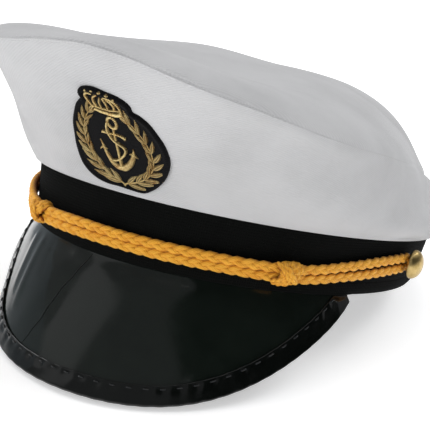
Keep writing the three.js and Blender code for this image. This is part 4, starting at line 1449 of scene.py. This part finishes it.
# The cord's places round the band in degrees, and there in mm: the rise of both strands, each strand's height over
# or under the middle between them, and the lift off the band.
CORD_ROUTE: dict[str, tuple[float, ...]] = {
    "angle": (-83.5, -64, -44, -33.5, -27.5, -21.5, -13, -5, 7, 18, 29, 36.5, 42.5, 48.5, 58, 70, 83.5),
    "rise": (5.8, 3.8, 1.2, 0.2, -0.2, -0.2, 0.0, 0.0, 0.0, 0.0, 0.0, 0.0, 0.1, 0.5, 2.2, 4.4, 6.0),
    "upper": (2.3, 2.2, 2.0, 1.8, 1.7, 1.8, 1.95, 1.85, 1.8, 1.8, 1.75, 1.8, 1.8, 1.95, 2.2, 2.5, 2.3),
    "lower": (
        -2.3, -2.2, -2.0, -1.8, -1.7, -1.8, -1.95, -1.85, -1.8, -1.8, -1.75, -1.8, -1.8, -1.95, -2.1, -2.4, -2.3
    ),
    "lift": (0.0, 0.1, 0.8, 2.0, 2.3, 2.0, 0.8, 0.1, 0.1, 0.2, 0.7, 1.9, 2.3, 2.0, 0.8, 0.1, 0.0),
}


@dataclass
class CordTrim:
    """The gold cord: two plaited strands that lie on the band, and the two knots tied in them."""

    shape: CapShape
    height: float = 8.3
    core: float = 2.15
    plait_width: float = 0.95
    plait_depth: float = 0.46
    plait_pitch: float = 15.5
    ply: float = 1.1
    yarns: int = 3
    sides: int = 14
    step: float = 0.42

    # A knot's turns: place along the band, slant, half height and depth in mm, size against the cord, and the share
    # of a full turn at which each starts and ends.
    TURNS = (
        {"at": -4.0, "slant": 1.4, "tall": 3.2, "deep": 2.7, "size": 0.6, "start": 0.35, "end": 1.25},
        {"at": -2.3, "slant": 2.0, "tall": 3.9, "deep": 3.1, "size": 0.64, "start": 0.1, "end": 1.1},
        {"at": -0.2, "slant": 2.3, "tall": 4.2, "deep": 3.2, "size": 0.66, "start": 0.0, "end": 1.0},
        {"at": 1.9, "slant": 2.3, "tall": 4.1, "deep": 3.1, "size": 0.64, "start": 0.0, "end": 1.0},
        {"at": 3.7, "slant": 2.0, "tall": 3.5, "deep": 2.8, "size": 0.6, "start": 0.0, "end": 1.0},
        {"at": 0.8, "slant": -3.2, "tall": 4.1, "deep": 4.3, "size": 0.62, "start": 0.02, "end": 0.38},
        {"at": -1.3, "slant": -3.0, "tall": 3.9, "deep": 4.2, "size": 0.6, "start": 0.02, "end": 0.36},
    )

    def build(self) -> list[Any]:
        """Builds both strands and both knots.

        Returns:
            The four pieces.
        """
        return [
            self.strand("upper", 0.0),
            self.strand("lower", 1.9),
            self.knot("knot_left", 42.5, 1),
            self.knot("knot_right", -27.5, -1),
        ]

    def column(self, name: str, angle: Array) -> Array:
        """Returns a value of the cord's route.

        Args:
            name: The value's name in CORD_ROUTE.
            angle: Angles in degrees.

        Returns:
            The smooth value at each angle.
        """
        places = np.array(CORD_ROUTE["angle"])
        last = len(places) - 1
        row = np.clip(np.searchsorted(places, angle, side="right") - 1, 0, last - 1)
        t = np.clip((angle - places[row]) / (places[row + 1] - places[row]), 0, 1)
        return through(np.array(CORD_ROUTE[name]), row, t, lambda index: np.clip(index, 0, last))

    def middle(self, strand: str, angle: Array) -> Array:
        """Returns points along the middle of the cord or of one strand.

        Args:
            strand: "upper", "lower", or nothing for the middle between them.
            angle: Angles in degrees.

        Returns:
            Level points in mm.
        """
        lift = self.core + self.column("lift", angle)
        height = self.height + self.column("rise", angle)
        if strand:
            height = height + self.column(strand, angle)
        return self.shape.band(angle, lift, height)

    def plait(self, draft: Draft, route: Array, facing: Array, phase: float, size: float) -> None:
        """Adds a plait of three plies, which closes up at its ends, to a draft.

        Args:
            draft: The draft that the plies go into.
            route: Points in mm along the plait's middle.
            facing: Outward direction at each point.
            phase: Where in the plait's pattern it starts, in radians.
            size: Size of the plait against the cord's own.
        """
        length = run_length(route)
        even = np.linspace(0, length[-1], max(int(length[-1] / self.step), 8))
        line = walk(even, length, route)
        along = unit(np.gradient(line, axis=0))
        side = unit(np.cross(along, unit(walk(even, length, facing))))
        out = np.cross(side, along)
        close = np.clip(np.minimum(even, even[-1] - even) / (1.6 * size) + 0.35, 0, 1)
        turn = np.arange(self.sides) * 2 * np.pi / self.sides
        for ply in range(3):
            swing = even / (self.plait_pitch * size) * 2 * np.pi + phase + ply * 2 * np.pi / 3
            sideways = self.plait_width * size * np.sin(swing) * close
            depth = self.plait_depth * size * np.sin(2 * swing) * close
            path = line + side * sideways[:, None] + out * depth[:, None]
            lobes = 1 + 0.1 * np.cos(self.yarns * turn[None, :] + even[:, None] / (2.6 * size) * 2 * np.pi)
            radii = self.ply * size / 1000 * lobes * (0.55 + 0.45 * close)[:, None]
            # Painted shade: each ply darkens on its side towards the band, where it lies deeper in the plait, and a
            # little more as it crosses the plait's middle.
            inside = np.clip(0.55 - (np.cos(turn)[None, :] + depth[:, None] / size) * 0.55, 0, 1)
            edge = np.clip(1 - np.abs(sideways / size)[:, None] / 1.3, 0, 1)
            rest = self.shape.at_rest(path)
            ahead = (self.shape.at_rest(path + out) - rest) * 1000
            draft.add_tube(rest, ahead, radii, painted_shade=np.clip(inside * 0.85 + 0.1 * edge, 0, 1))

    def strand(self, name: str, phase: float) -> Any:
        """Builds one strand of the cord.

        Args:
            name: "upper" or "lower".
            phase: Where in the plait's pattern it starts, in radians.

        Returns:
            The strand.
        """
        ends = CORD_ROUTE["angle"]
        angle = np.linspace(ends[0], ends[-1], 900)
        draft = Draft()
        self.plait(draft, self.middle(name, angle), self.shape.normal(angle), phase, 1.0)
        return seat(draft.build(f"cord_{name}_plait", GOLD_YARN, FINE_WELD), "gold_cord", f"cord_{name}")

    def knot(self, name: str, angle: float, hand: int) -> Any:
        """Builds one knot: slanting turns of the cord round both strands, two of them crossing over the others.

        Args:
            name: The CAD node that it stands for.
            angle: Place on the band in degrees.
            hand: 1 or -1 for the way the turns slant.

        Returns:
            The knot.
        """
        centre = self.middle("", np.array([angle]))[0]
        out = self.shape.normal(np.array([angle]))[0]
        up = np.array([0.0, 0.0, 1.0])
        along = np.cross(up, out)
        draft = Draft()
        for index, turn in enumerate(self.TURNS):
            sweep = np.linspace(turn["start"], turn["end"], 140) * 2 * np.pi
            aside = turn["at"] + hand * turn["slant"] * np.cos(sweep) + 0.8 * (sweep / (2 * np.pi) - 0.5)
            height = turn["tall"] * np.cos(sweep)
            depth = np.maximum(turn["deep"] * np.sin(sweep) + 0.2, -1.6)
            route = centre + along * (hand * aside)[:, None] + up * height[:, None] + out * depth[:, None]
            facing = up * np.cos(sweep)[:, None] * 0.8 + out * np.sin(sweep)[:, None]
            self.plait(draft, route, unit(facing), index * 1.1, turn["size"])
        return seat(draft.build(f"{name}_turns", GOLD_YARN, FINE_WELD), "gold_cord", name)


@dataclass
class Buttons:
    """The two domed buttons that hold the cord's ends."""

    shape: CapShape
    cord: CordTrim
    angle: float = 83.0
    width: float = 12.6
    dome: float = 4.0
    foot: float = 4.8
    shank: float = 3.2
    segments: int = 48

    def build(self) -> list[Any]:
        """Builds both buttons."""
        return [self.button("button_left", self.angle), self.button("button_right", -self.angle)]

    def profile(self) -> list[tuple[float, float]]:
        """Returns the button's half section.

        Returns:
            Radius and height over the band in mm, from the shank's foot to the dome's middle.
        """
        radius = self.width / 2
        points = [
            (self.shank / 2, 0.3),
            (self.shank / 2, self.foot - 0.2),
            (self.shank / 2 + 0.5, self.foot + 0.1),
            (radius * 0.86, self.foot + 0.05),
            (radius * 0.96, self.foot + 0.2),
            (radius, self.foot + 0.6),
        ]
        for turn in np.linspace(0.06, 1.0, 16):
            sweep = turn * math.pi / 2
            points.append((radius * math.cos(sweep), self.foot + 0.75 + self.dome * math.sin(sweep)))
        return points

    def button(self, node: str, angle: float) -> Any:
        """Spins the half section round the button's axis and stands it on the band.

        Args:
            node: The CAD node that it stands for.
            angle: Place on the band in degrees.

        Returns:
            The button.
        """
        bpy.ops.object.select_all(action="DESELECT")
        bpy.ops.mesh.primitive_circle_add(vertices=3, radius=0.001)
        piece = bpy.context.active_object
        piece.name = piece.data.name = f"{node}_dome"
        bpy.ops.object.mode_set(mode="EDIT")
        tool = bmesh.from_edit_mesh(piece.data)
        bmesh.ops.delete(tool, geom=list(tool.verts), context="VERTS")
        chain = [tool.verts.new((out / 1000, 0.0, up / 1000)) for out, up in self.profile()]
        for first, second in zip(chain, chain[1:]):
            tool.edges.new((first, second))
        bmesh.update_edit_mesh(piece.data)
        bpy.ops.mesh.select_all(action="SELECT")
        bpy.ops.mesh.spin(steps=self.segments, angle=2 * math.pi, center=(0, 0, 0), axis=(0, 0, 1))
        bpy.ops.mesh.select_all(action="SELECT")
        bpy.ops.mesh.remove_doubles(threshold=0.00001)
        bpy.ops.mesh.select_all(action="DESELECT")
        bpy.ops.mesh.select_mode(type="EDGE")
        bpy.ops.mesh.select_non_manifold()
        bpy.ops.mesh.edge_face_add()
        bpy.ops.mesh.select_all(action="SELECT")
        bpy.ops.mesh.normals_make_consistent(inside=False)
        bpy.ops.object.mode_set(mode="OBJECT")
        place = np.array([angle])
        foot = self.shape.band(place, np.array([0.0]), self.cord.height + self.cord.column("rise", place))
        start = self.shape.at_rest(foot)[0]
        ahead = self.shape.at_rest(foot + self.shape.normal(place) * 1000)[0] - start
        turn = Vector((0, 0, 1)).rotation_difference(Vector(ahead)).to_matrix().to_4x4()
        piece.data.transform(Matrix.Translation(Vector(start)) @ turn)
        piece.data.materials.append(FINISHES.of(GILT_BRASS))
        pick(piece)
        bpy.ops.object.shade_smooth_by_angle(angle=math.radians(40))
        return seat(piece, "brass", node)


@dataclass
class Badge:
    """The embroidered badge: a felt patch with a corded edge, a laurel wreath, an anchor with its rope, and a crown."""

    shape: CapShape
    foot: float = 2.0
    shift: float = 2.5
    gap: float = 0.4
    felt: float = 1.3
    ground: float = 0.88
    raised: float = 0.95
    samples: int = 640
    centre: tuple[float, float] = (1.0, 22.0)
    leaf_pairs: int = 10
    satin_step: float = 0.45
    binding_turn: float = 1.1
    binding_relief: float = 0.06

    OUTLINE = (
        (2.0, -0.2), (7.2, -0.2), (10.6, 2.2), (14.0, 6.0), (17.4, 10.9), (20.0, 16.6), (21.4, 22.4), (21.0, 29.1),
        (19.2, 33.8), (16.8, 37.8), (13.6, 40.0), (11.0, 40.7), (10.4, 42.8), (8.6, 44.4), (5.0, 45.5), (0.6, 46.0),
        (-4.2, 46.9), (-8.6, 46.3), (-10.6, 44.9), (-10.8, 42.9), (-10.1, 41.4), (-12.0, 39.8), (-13.9, 37.2),
        (-17.0, 30.2), (-18.4, 23.3), (-19.4, 16.8), (-19.2, 9.8), (-17.2, 5.2), (-13.2, 1.8), (-8.2, 0.2),
        (-2.6, 0.2),
    )

    # The bound edge: how far each row lies inside the outline, and how high over the crown's cloth, in mm.
    EDGE = (
        (0.0, 0.0), (0.0, 0.6), (0.18, 1.1), (0.5, 1.5), (0.95, 1.66), (1.4, 1.62), (1.85, 1.46), (2.3, 1.25),
        (2.7, 1.15),
    )

    STEMS = {
        "left": (
            (-0.9, 0.9), (0.6, 3.2), (5.6, 5.6), (10.4, 9.8), (13.8, 15.5), (14.9, 21.5), (13.9, 27.5), (11.2, 32.6),
            (8.2, 36.2),
        ),
        "right": (
            (0.6, 0.5), (-1.0, 3.4), (-6.4, 6.4), (-10.2, 11.0), (-12.2, 16.5), (-13.0, 22.5), (-12.2, 28.2),
            (-9.8, 33.4), (-7.4, 36.6),
        ),
    }

    # Satin bars: the middle line's flat points, the half widths along it and the height of the padding, in mm.
    ANCHOR_BARS = (
        (((1.2, 30.6), (1.0, 26.0), (0.8, 20.0), (0.5, 12.5)), (0.55, 0.6, 0.65, 0.8), 0.85),
        (((-4.0, 27.9), (-1.5, 27.6), (1.4, 27.9), (3.9, 27.7), (5.7, 27.0)), (0.75, 0.5, 0.5, 0.5, 0.75), 0.95),
        (
            (
                (-5.9, 23.8), (-5.1, 19.6), (-4.3, 16.1), (-3.0, 13.0), (-1.0, 11.4), (1.7, 11.6), (4.4, 14.2),
                (6.5, 18.0), (7.3, 20.4), (7.6, 23.0),
            ),
            (0.1, 0.7, 0.85, 1.1, 1.45, 1.6, 1.35, 1.1, 0.9, 0.1),
            1.1,
        ),
        (((-7.2, 18.6), (-5.5, 20.6), (-3.8, 19.4)), (0.1, 0.6, 0.1), 1.0),
        (((5.3, 19.6), (7.2, 20.6), (8.8, 18.8)), (0.1, 0.6, 0.1), 1.0),
    )

    ROPE = (
        (-0.4, 33.4), (-1.4, 30.6), (-1.2, 28.0), (0.0, 25.4), (2.0, 23.8), (4.0, 22.8), (4.3, 20.7), (2.5, 17.8),
        (-0.2, 15.4), (-2.2, 14.9),
    )

    CROWN_BARS = (
        (((-4.8, 37.9), (-1.8, 37.4), (1.0, 37.3), (3.8, 37.4), (6.6, 38.4)), (0.6, 0.85, 0.95, 1.05, 0.8), 1.0),
        (((-5.4, 39.4), (-1.8, 39.0), (2.0, 39.0), (6.0, 40.0)), (0.35, 0.45, 0.45, 0.4), 0.8),
        (((-5.0, 38.6), (-6.6, 41.0), (-7.7, 43.6), (-6.6, 44.9), (-4.6, 44.4)), (0.5, 0.55, 0.6, 0.65, 0.4), 0.85),
        (((6.7, 39.0), (6.2, 41.4), (4.8, 43.3), (2.4, 44.2), (0.2, 44.0)), (0.5, 0.55, 0.65, 0.6, 0.4), 0.85),
        (((-3.4, 39.2), (-4.4, 41.4), (-4.2, 43.4), (-2.4, 44.4)), (0.45, 0.6, 0.6, 0.4), 0.8),
        (((3.9, 39.4), (4.1, 41.2), (3.0, 42.8), (1.2, 43.4)), (0.45, 0.6, 0.6, 0.4), 0.8),
        (((-1.4, 39.2), (-2.0, 41.4), (-1.4, 43.6)), (0.4, 0.5, 0.35), 0.8),
        (((1.3, 39.2), (1.1, 41.4), (-0.2, 43.8)), (0.4, 0.5, 0.5), 0.9),
    )

    # Half the width of a laurel leaf from its stalk to its tip, as a share of its greatest.
    LEAF = (0.25, 0.62, 0.9, 1.0, 0.97, 0.85, 0.62, 0.34, 0.06)

    PEARLS = ((-6.9, 45.6), (-4.2, 45.8), (-1.2, 45.6), (1.8, 45.2), (4.6, 44.4))

    def build(self) -> list[Any]:
        """Builds the patch and its motifs."""
        return [self.patch(), self.wreath("left", 1), self.wreath("right", -1), self.anchor(), self.crown()]

    def on_crown(self, across: Array, along: Array, lift: Array) -> Array:
        """Lays flat badge points on the crown's front.

        Args:
            across: Towards the wearer's left, in mm.
            along: Up from the badge's foot, in mm.
            lift: Height over the crown's cloth, in mm.

        Returns:
            Level points in mm.
        """
        across, along, lift = np.broadcast_arrays(across, along, lift)
        start = self.shape.wall(np.array(0.0), np.array(0.0))
        slant = np.linalg.norm(self.shape.wall(np.array(0.0), np.array(1.0)) - start)
        level = (self.foot + along) / slant
        one = np.ones_like(level)
        per_degree = (self.shape.wall(one, level)[..., 0] - self.shape.wall(-one, level)[..., 0]) / 2
        angle = (across + self.shift) / per_degree
        right = self.shape.wall(angle + 0.5, level) - self.shape.wall(angle - 0.5, level)
        up = self.shape.wall(angle, level + 0.01) - self.shape.wall(angle, level - 0.01)
        facing = unit(np.cross(right, up))
        return self.shape.wall(angle, level) + facing * (self.gap + lift)[..., None]

    def rim_line(self, count: int) -> Array:
        """Returns the patch's outline as a closed line of flat points at even steps.

        Args:
            count: How many points it has.

        Returns:
            The points in mm, without the first one again at the end.
        """
        corners = np.array(self.OUTLINE)
        total = len(corners)
        place = np.linspace(0, total, count * 3, endpoint=False)
        row = np.floor(place).astype(int)
        line = through(corners, row, (place - row)[:, None], lambda index: index % total)
        closed = np.vstack([line, line[:1]])
        length = run_length(closed)
        return walk(np.linspace(0, length[-1], count, endpoint=False), length, closed)

    def patch(self) -> Any:
        """Builds the felt patch, whose edge is bound with slanting black thread.

        Returns:
            The patch, closed underneath.
        """
        line = self.rim_line(self.samples)
        ahead = np.roll(line, -1, axis=0) - np.roll(line, 1, axis=0)
        inward = unit(np.stack([-ahead[:, 1], ahead[:, 0]], -1))
        for _ in range(30):
            inward = unit(np.roll(inward, 1, axis=0) + inward + np.roll(inward, -1, axis=0))
        length = np.arange(self.samples) * np.linalg.norm(line[1] - line[0])
        columns = []
        for row, (inset, lift) in enumerate(self.EDGE):
            # The turns of the binding thread lean along the edge from row to row.
            relief = self.binding_relief if 0 < row < 8 else 0.0
            wrap = relief * np.sin(2 * np.pi * length / self.binding_turn + row * 0.5)
            flat = line + inward * (inset - wrap * 0.6 * (row < 4))[:, None]
            columns.append(self.on_crown(*flat.T, lift * self.felt / 1.3 + wrap))
        centre, ground = np.array(self.centre), self.felt * self.ground
        last = line + inward * self.EDGE[-1][0]
        columns += [self.on_crown(*(last + (centre - last) * share).T, ground) for share in (0.25, 0.5, 0.75, 0.97)]
        base = [self.on_crown(*(line + (centre - line) * share).T, 0.0) for share in (0, 0.4, 0.8)]
        draft = Draft()
        for rows, lift, under in ((columns, ground, False), (base, 0.0, True)):
            grid = self.shape.at_rest(np.stack(rows, 1))
            draft.add_grid(grid, np.zeros((self.samples + 1, len(rows), 2)), closed=True, flip=under)
            draft.add_fan(grid[:, -1], self.shape.at_rest(self.on_crown(*centre, lift)), flip=under)
        return seat(draft.build("badge_felt_patch", BLACK_FELT, weld=1e-7), "badge_felt", "badge_backing")

    def satin(
        self, draft: Draft, route: Sequence[tuple[float, float]], widths: Sequence[float], height: float,
        slant: float = 0.0, groove: float = 0.0, lift: float = 0.0,
    ) -> None:
        """Adds a satin-stitched bar: a padded lens whose threads run across it.

        Args:
            draft: The draft that it goes into.
            route: Flat points in mm along the bar's middle.
            widths: Half widths in mm at even steps along it.
            height: Height of the padding in mm.
            slant: How far the threads lean along the bar towards its edges.
            groove: Depth of the vein in its middle, as a share of its height.
            lift: Extra height over the felt in mm.
        """
        line = np.array(route, float)
        length = run_length(line)
        steps = max(8, int(length[-1] / self.satin_step))
        even = np.linspace(0, length[-1], steps)
        path = walk(even, length, line)
        for _ in range(2):
            path[1:-1] = (path[:-2] + 2 * path[1:-1] + path[2:]) / 4
        along = unit(np.gradient(path, axis=0))
        side = np.stack([along[:, 1], -along[:, 0]], -1)
        half = np.interp(np.linspace(0, 1, steps), np.linspace(0, 1, len(widths)), widths)
        cells = np.linspace(-1, 1, 13)
        across = half[:, None] * cells[None]
        flat = path[:, None] + side[:, None] * across[..., None]
        crest = np.maximum(1 - cells**2, 0) ** 0.55 * (1 - groove * bump(cells, 0.22))
        full = np.clip(half / max(float(half.max()), 1e-6), 0.25, 1) ** 0.6
        over = self.felt * self.ground - 0.1 + lift + height * crest[None] * full[:, None]
        rest = self.shape.at_rest(self.on_crown(flat[..., 0], flat[..., 1], over))
        cut = np.stack([across, even[:, None] + slant * np.abs(across)], -1) / 1000
        # Painted shade: the thread darkens towards the bar's sloping edges and, in leaves, along the vein's groove.
        sunk = np.clip(np.abs(cells) * 1.9 - 0.95, 0, 0.95) + (0.8 * bump(cells, 0.24) if groove else 0.0)
        draft.add_grid(rest, cut, painted_shade=np.broadcast_to(sunk, over.shape), flip=True)
        low = self.shape.at_rest(self.on_crown(flat[..., 0], flat[..., 1], self.felt * 0.6))
        draft.add_grid(low, cut)
        rim, base = (
            np.concatenate([grid[:, 0], grid[-1, 1:], grid[-2::-1, -1], grid[0, -2:0:-1]]) for grid in (rest, low)
        )
        draft.add_grid(np.stack([base, rim], 1), np.zeros((len(rim) + 1, 2, 2)), closed=True, flip=True)

    def leaf(self, draft: Draft, base: Array, heading: float, length: float, width: float, bend: float) -> None:
        """Adds one laurel leaf.

        Args:
            draft: The draft that it goes into.
            base: Flat point at its stalk.
            heading: Direction in degrees from the badge's upright towards the wearer's left.
            length: Its length in mm.
            width: Its greatest width in mm.
            bend: How far it turns along its length, in degrees.
        """
        route = [base]
        turn = math.radians(heading)
        for _ in range(8):
            turn += math.radians(bend) / 8
            route.append(route[-1] + np.array([math.sin(turn), math.cos(turn)]) * length / 8)
        self.satin(draft, route, width / 2 * np.array(self.LEAF), self.raised, slant=1.1, groove=0.35)

    def wreath(self, name: str, hand: int) -> Any:
        """Builds one laurel branch: a stem and leaves that stand out from it on both sides.

        Args:
            name: Which branch, on the wearer's left or right.
            hand: 1 for the wearer's left, -1 for the right.

        Returns:
            The branch.
        """
        path = smooth_path(self.STEMS[name], 90)
        length = run_length(path)
        draft = Draft()
        self.satin(draft, path, (0.5, 0.42, 0.36, 0.3, 0.26), 0.4)
        dice = np.random.default_rng(40 + hand)
        for share in np.arange(self.leaf_pairs) / (self.leaf_pairs - 1):
            at = 3.6 + (length[-1] - 5.0) * share
            base, tip = walk(np.array([at, at + 0.6]), length, path)
            heading = math.degrees(math.atan2(*(tip - base)))
            size = 1.0 - 0.3 * share
            outer = heading + hand * (34 + dice.uniform(-5, 5))
            inner = heading - hand * (30 + dice.uniform(-5, 5))
            self.leaf(draft, base, outer, 8.8 * size, 2.5 * size, -hand * 16)
            self.leaf(draft, base, inner, 7.2 * size, 2.1 * size, hand * 14)
        self.leaf(draft, path[-1], heading, 4.6, 1.9, 0.0)
        return seat(draft.build(f"badge_laurel_{name}", LUREX_THREAD, FINE_WELD), "gold_thread", f"badge_wreath_{name}")

    def anchor(self) -> Any:
        """Builds the anchor with its ring, stock and arms, and the rope that winds round its shank.

        Returns:
            The anchor and its rope as one piece.
        """
        draft = Draft()
        ring = [(1.3 + 1.9 * math.sin(t), 33.0 + 2.5 * math.cos(t)) for t in np.linspace(0.25, 2 * math.pi + 0.2, 26)]
        for route, widths, height in ((ring, (0.65, 0.75, 0.65), 0.75), *self.ANCHOR_BARS):
            self.satin(draft, route, widths, height)
        self.satin(draft, smooth_path(self.ROPE, 60), (0.5, 0.52, 0.5), 0.9, slant=1.0, lift=0.35)
        return seat(draft.build("badge_anchor_and_rope", LUREX_THREAD, FINE_WELD), "gold_thread", "badge_anchor")

    def crown(self) -> Any:
        """Builds the crown over the wreath: a curved circlet, arches, and a row of pearls.

        Returns:
            The crown as one piece.
        """
        draft = Draft()
        for route, widths, height in self.CROWN_BARS:
            self.satin(draft, route, widths, height)
        for across, along in self.PEARLS:
            pearl = [(across - 0.8, along), (across, along + 0.1), (across + 0.8, along)]
            self.satin(draft, pearl, (0.2, 0.65, 0.2), 0.8)
        return seat(draft.build("badge_crown_stitched", LUREX_THREAD, FINE_WELD), "gold_thread", "badge_crown")


@dataclass
class Studio:
    """A white floor under soft light, two boards for the gloss to mirror, and the camera at the photograph's angle."""

    floor_side: float = 8.0
    lens: float = 90.43
    place: tuple[float, float, float] = (0.20193, -0.4264, 0.2040)
    right: tuple[float, float, float] = (0.87772, 0.46833, 0.10142)
    up: tuple[float, float, float] = (-0.24277, 0.25213, 0.93674)
    back: tuple[float, float, float] = (0.41313, -0.84682, 0.33500)

    def build(self) -> None:
        """Builds the floor, the softboxes, the boards, the surroundings and the camera."""
        self.floor()
        self.light("left_softbox", (-1.7, 0.1, 1.5), (0.0, 0.0, 0.05), 0.8, 0.8, 10.5)
        self.light("near_softbox", (-1.2, -1.2, 1.15), (0.0, 0.0, 0.05), 1.2, 1.2, 2.3)
        self.light("front_softbox", (-0.5, -2.2, 0.4), (0.0, 0.0, 0.08), 1.1, 0.4, 12.0, False)
        self.light("top_softbox", (0.2, 0.7, 2.2), (0.0, 0.1, 0.0), 2.4, 2.0, 21.0)
        self.light("right_softbox", (1.25, 1.15, 1.9), (0.0, 0.0, 0.05), 1.4, 1.0, 16.5)
        self.board("studio_board_left", (-0.24, 0.0, 0.05), (0.0, 0.0, 0.05), 0.5, 0.1, GREY_BOARD)
        self.board("studio_board_right", (1.1, -0.1, 0.78), (0.0, -0.05, 0.05), 2.0, 1.6, BLACK_BOARD)
        self.surroundings(0.33)
        self.camera()
        bpy.context.scene.view_settings.view_transform = "Standard"

    def floor(self) -> None:
        """Builds the paper floor."""
        bpy.ops.object.select_all(action="DESELECT")
        bpy.ops.mesh.primitive_plane_add(size=self.floor_side)
        floor = bpy.context.active_object
        floor.name = "studio_floor"
        floor.data.materials.append(FINISHES.of(WHITE_PAPER))

    def board(
        self, name: str, place: Sequence[float], target: Sequence[float], width: float, height: float, finish: Finish
    ) -> None:
        """Builds a board that stands beside the cap and shows only in its gloss.

        Args:
            name: Its name.
            place: Where its middle stands, in metres.
            target: The point that it faces.
            width: Its width in metres.
            height: Its height in metres.
            finish: Its finish.
        """
        bpy.ops.object.select_all(action="DESELECT")
        turn = (Vector(target) - Vector(place)).to_track_quat("Z", "Y").to_euler()
        bpy.ops.mesh.primitive_plane_add(size=1.0, location=place, rotation=turn)
        board = bpy.context.active_object
        board.name = name
        board.data.transform(Matrix.Diagonal((width, height, 1.0, 1.0)))
        board.data.materials.append(FINISHES.of(finish))
        board.visible_camera = board.visible_diffuse = board.visible_shadow = False

    def light(
        self,
        name: str,
        place: Sequence[float],
        target: Sequence[float],
        width: float,
        height: float,
        power: float,
        mirrored: bool = True,
    ) -> None:
        """Adds a softbox that faces a point.

        Args:
            name: Its name.
            place: Where it stands, in metres.
            target: The point that it faces.
            width: Its width in metres.
            height: Its height in metres.
            power: Its power in watts.
            mirrored: Whether glossy surfaces show it.
        """
        lamp = bpy.data.lights.new(name, "AREA")
        lamp.shape = "RECTANGLE"
        lamp.size = width
        lamp.size_y = height
        lamp.energy = power
        holder = bpy.data.objects.new(name, lamp)
        holder.location = place
        holder.rotation_euler = (Vector(target) - Vector(place)).to_track_quat("-Z", "Y").to_euler()
        holder.visible_glossy = mirrored
        bpy.context.scene.collection.objects.link(holder)

    def surroundings(self, strength: float) -> None:
        """Sets the even pale light all round.

        Args:
            strength: Its strength.
        """
        world = bpy.data.worlds.new("white_studio")
        world.use_nodes = True
        shade = world.node_tree.nodes["Background"]
        shade.inputs["Color"].default_value = srgb("fbfcff")
        shade.inputs["Strength"].default_value = strength
        bpy.context.scene.world = world

    def camera(self) -> None:
        """Sets the camera."""
        lens = bpy.data.cameras.new("photo_camera")
        lens.lens = self.lens
        lens.sensor_width = 36.0
        lens.clip_start = 0.01
        holder = bpy.data.objects.new("photo_camera", lens)
        axes = Matrix((self.right, self.up, self.back)).transposed().to_4x4()
        holder.matrix_world = Matrix.Translation(Vector(self.place)) @ axes
        bpy.context.scene.collection.objects.link(holder)
        bpy.context.scene.camera = holder


def main() -> None:
    """Builds the cap piece by piece, then the studio, and reports each piece."""
    logging.basicConfig(level=logging.INFO, format="%(name)s %(message)s")
    shape = CapShape()
    cord = CordTrim(shape)
    Studio().build()
    for maker in (cord, Band(shape), Crown(shape), Peak(shape), Buttons(shape, cord), Badge(shape)):
        made = maker.build()
        LOG.info("%s: %s", type(maker).__name__, ", ".join(piece.name for piece in made))


if __name__ == "__main__":
    main()
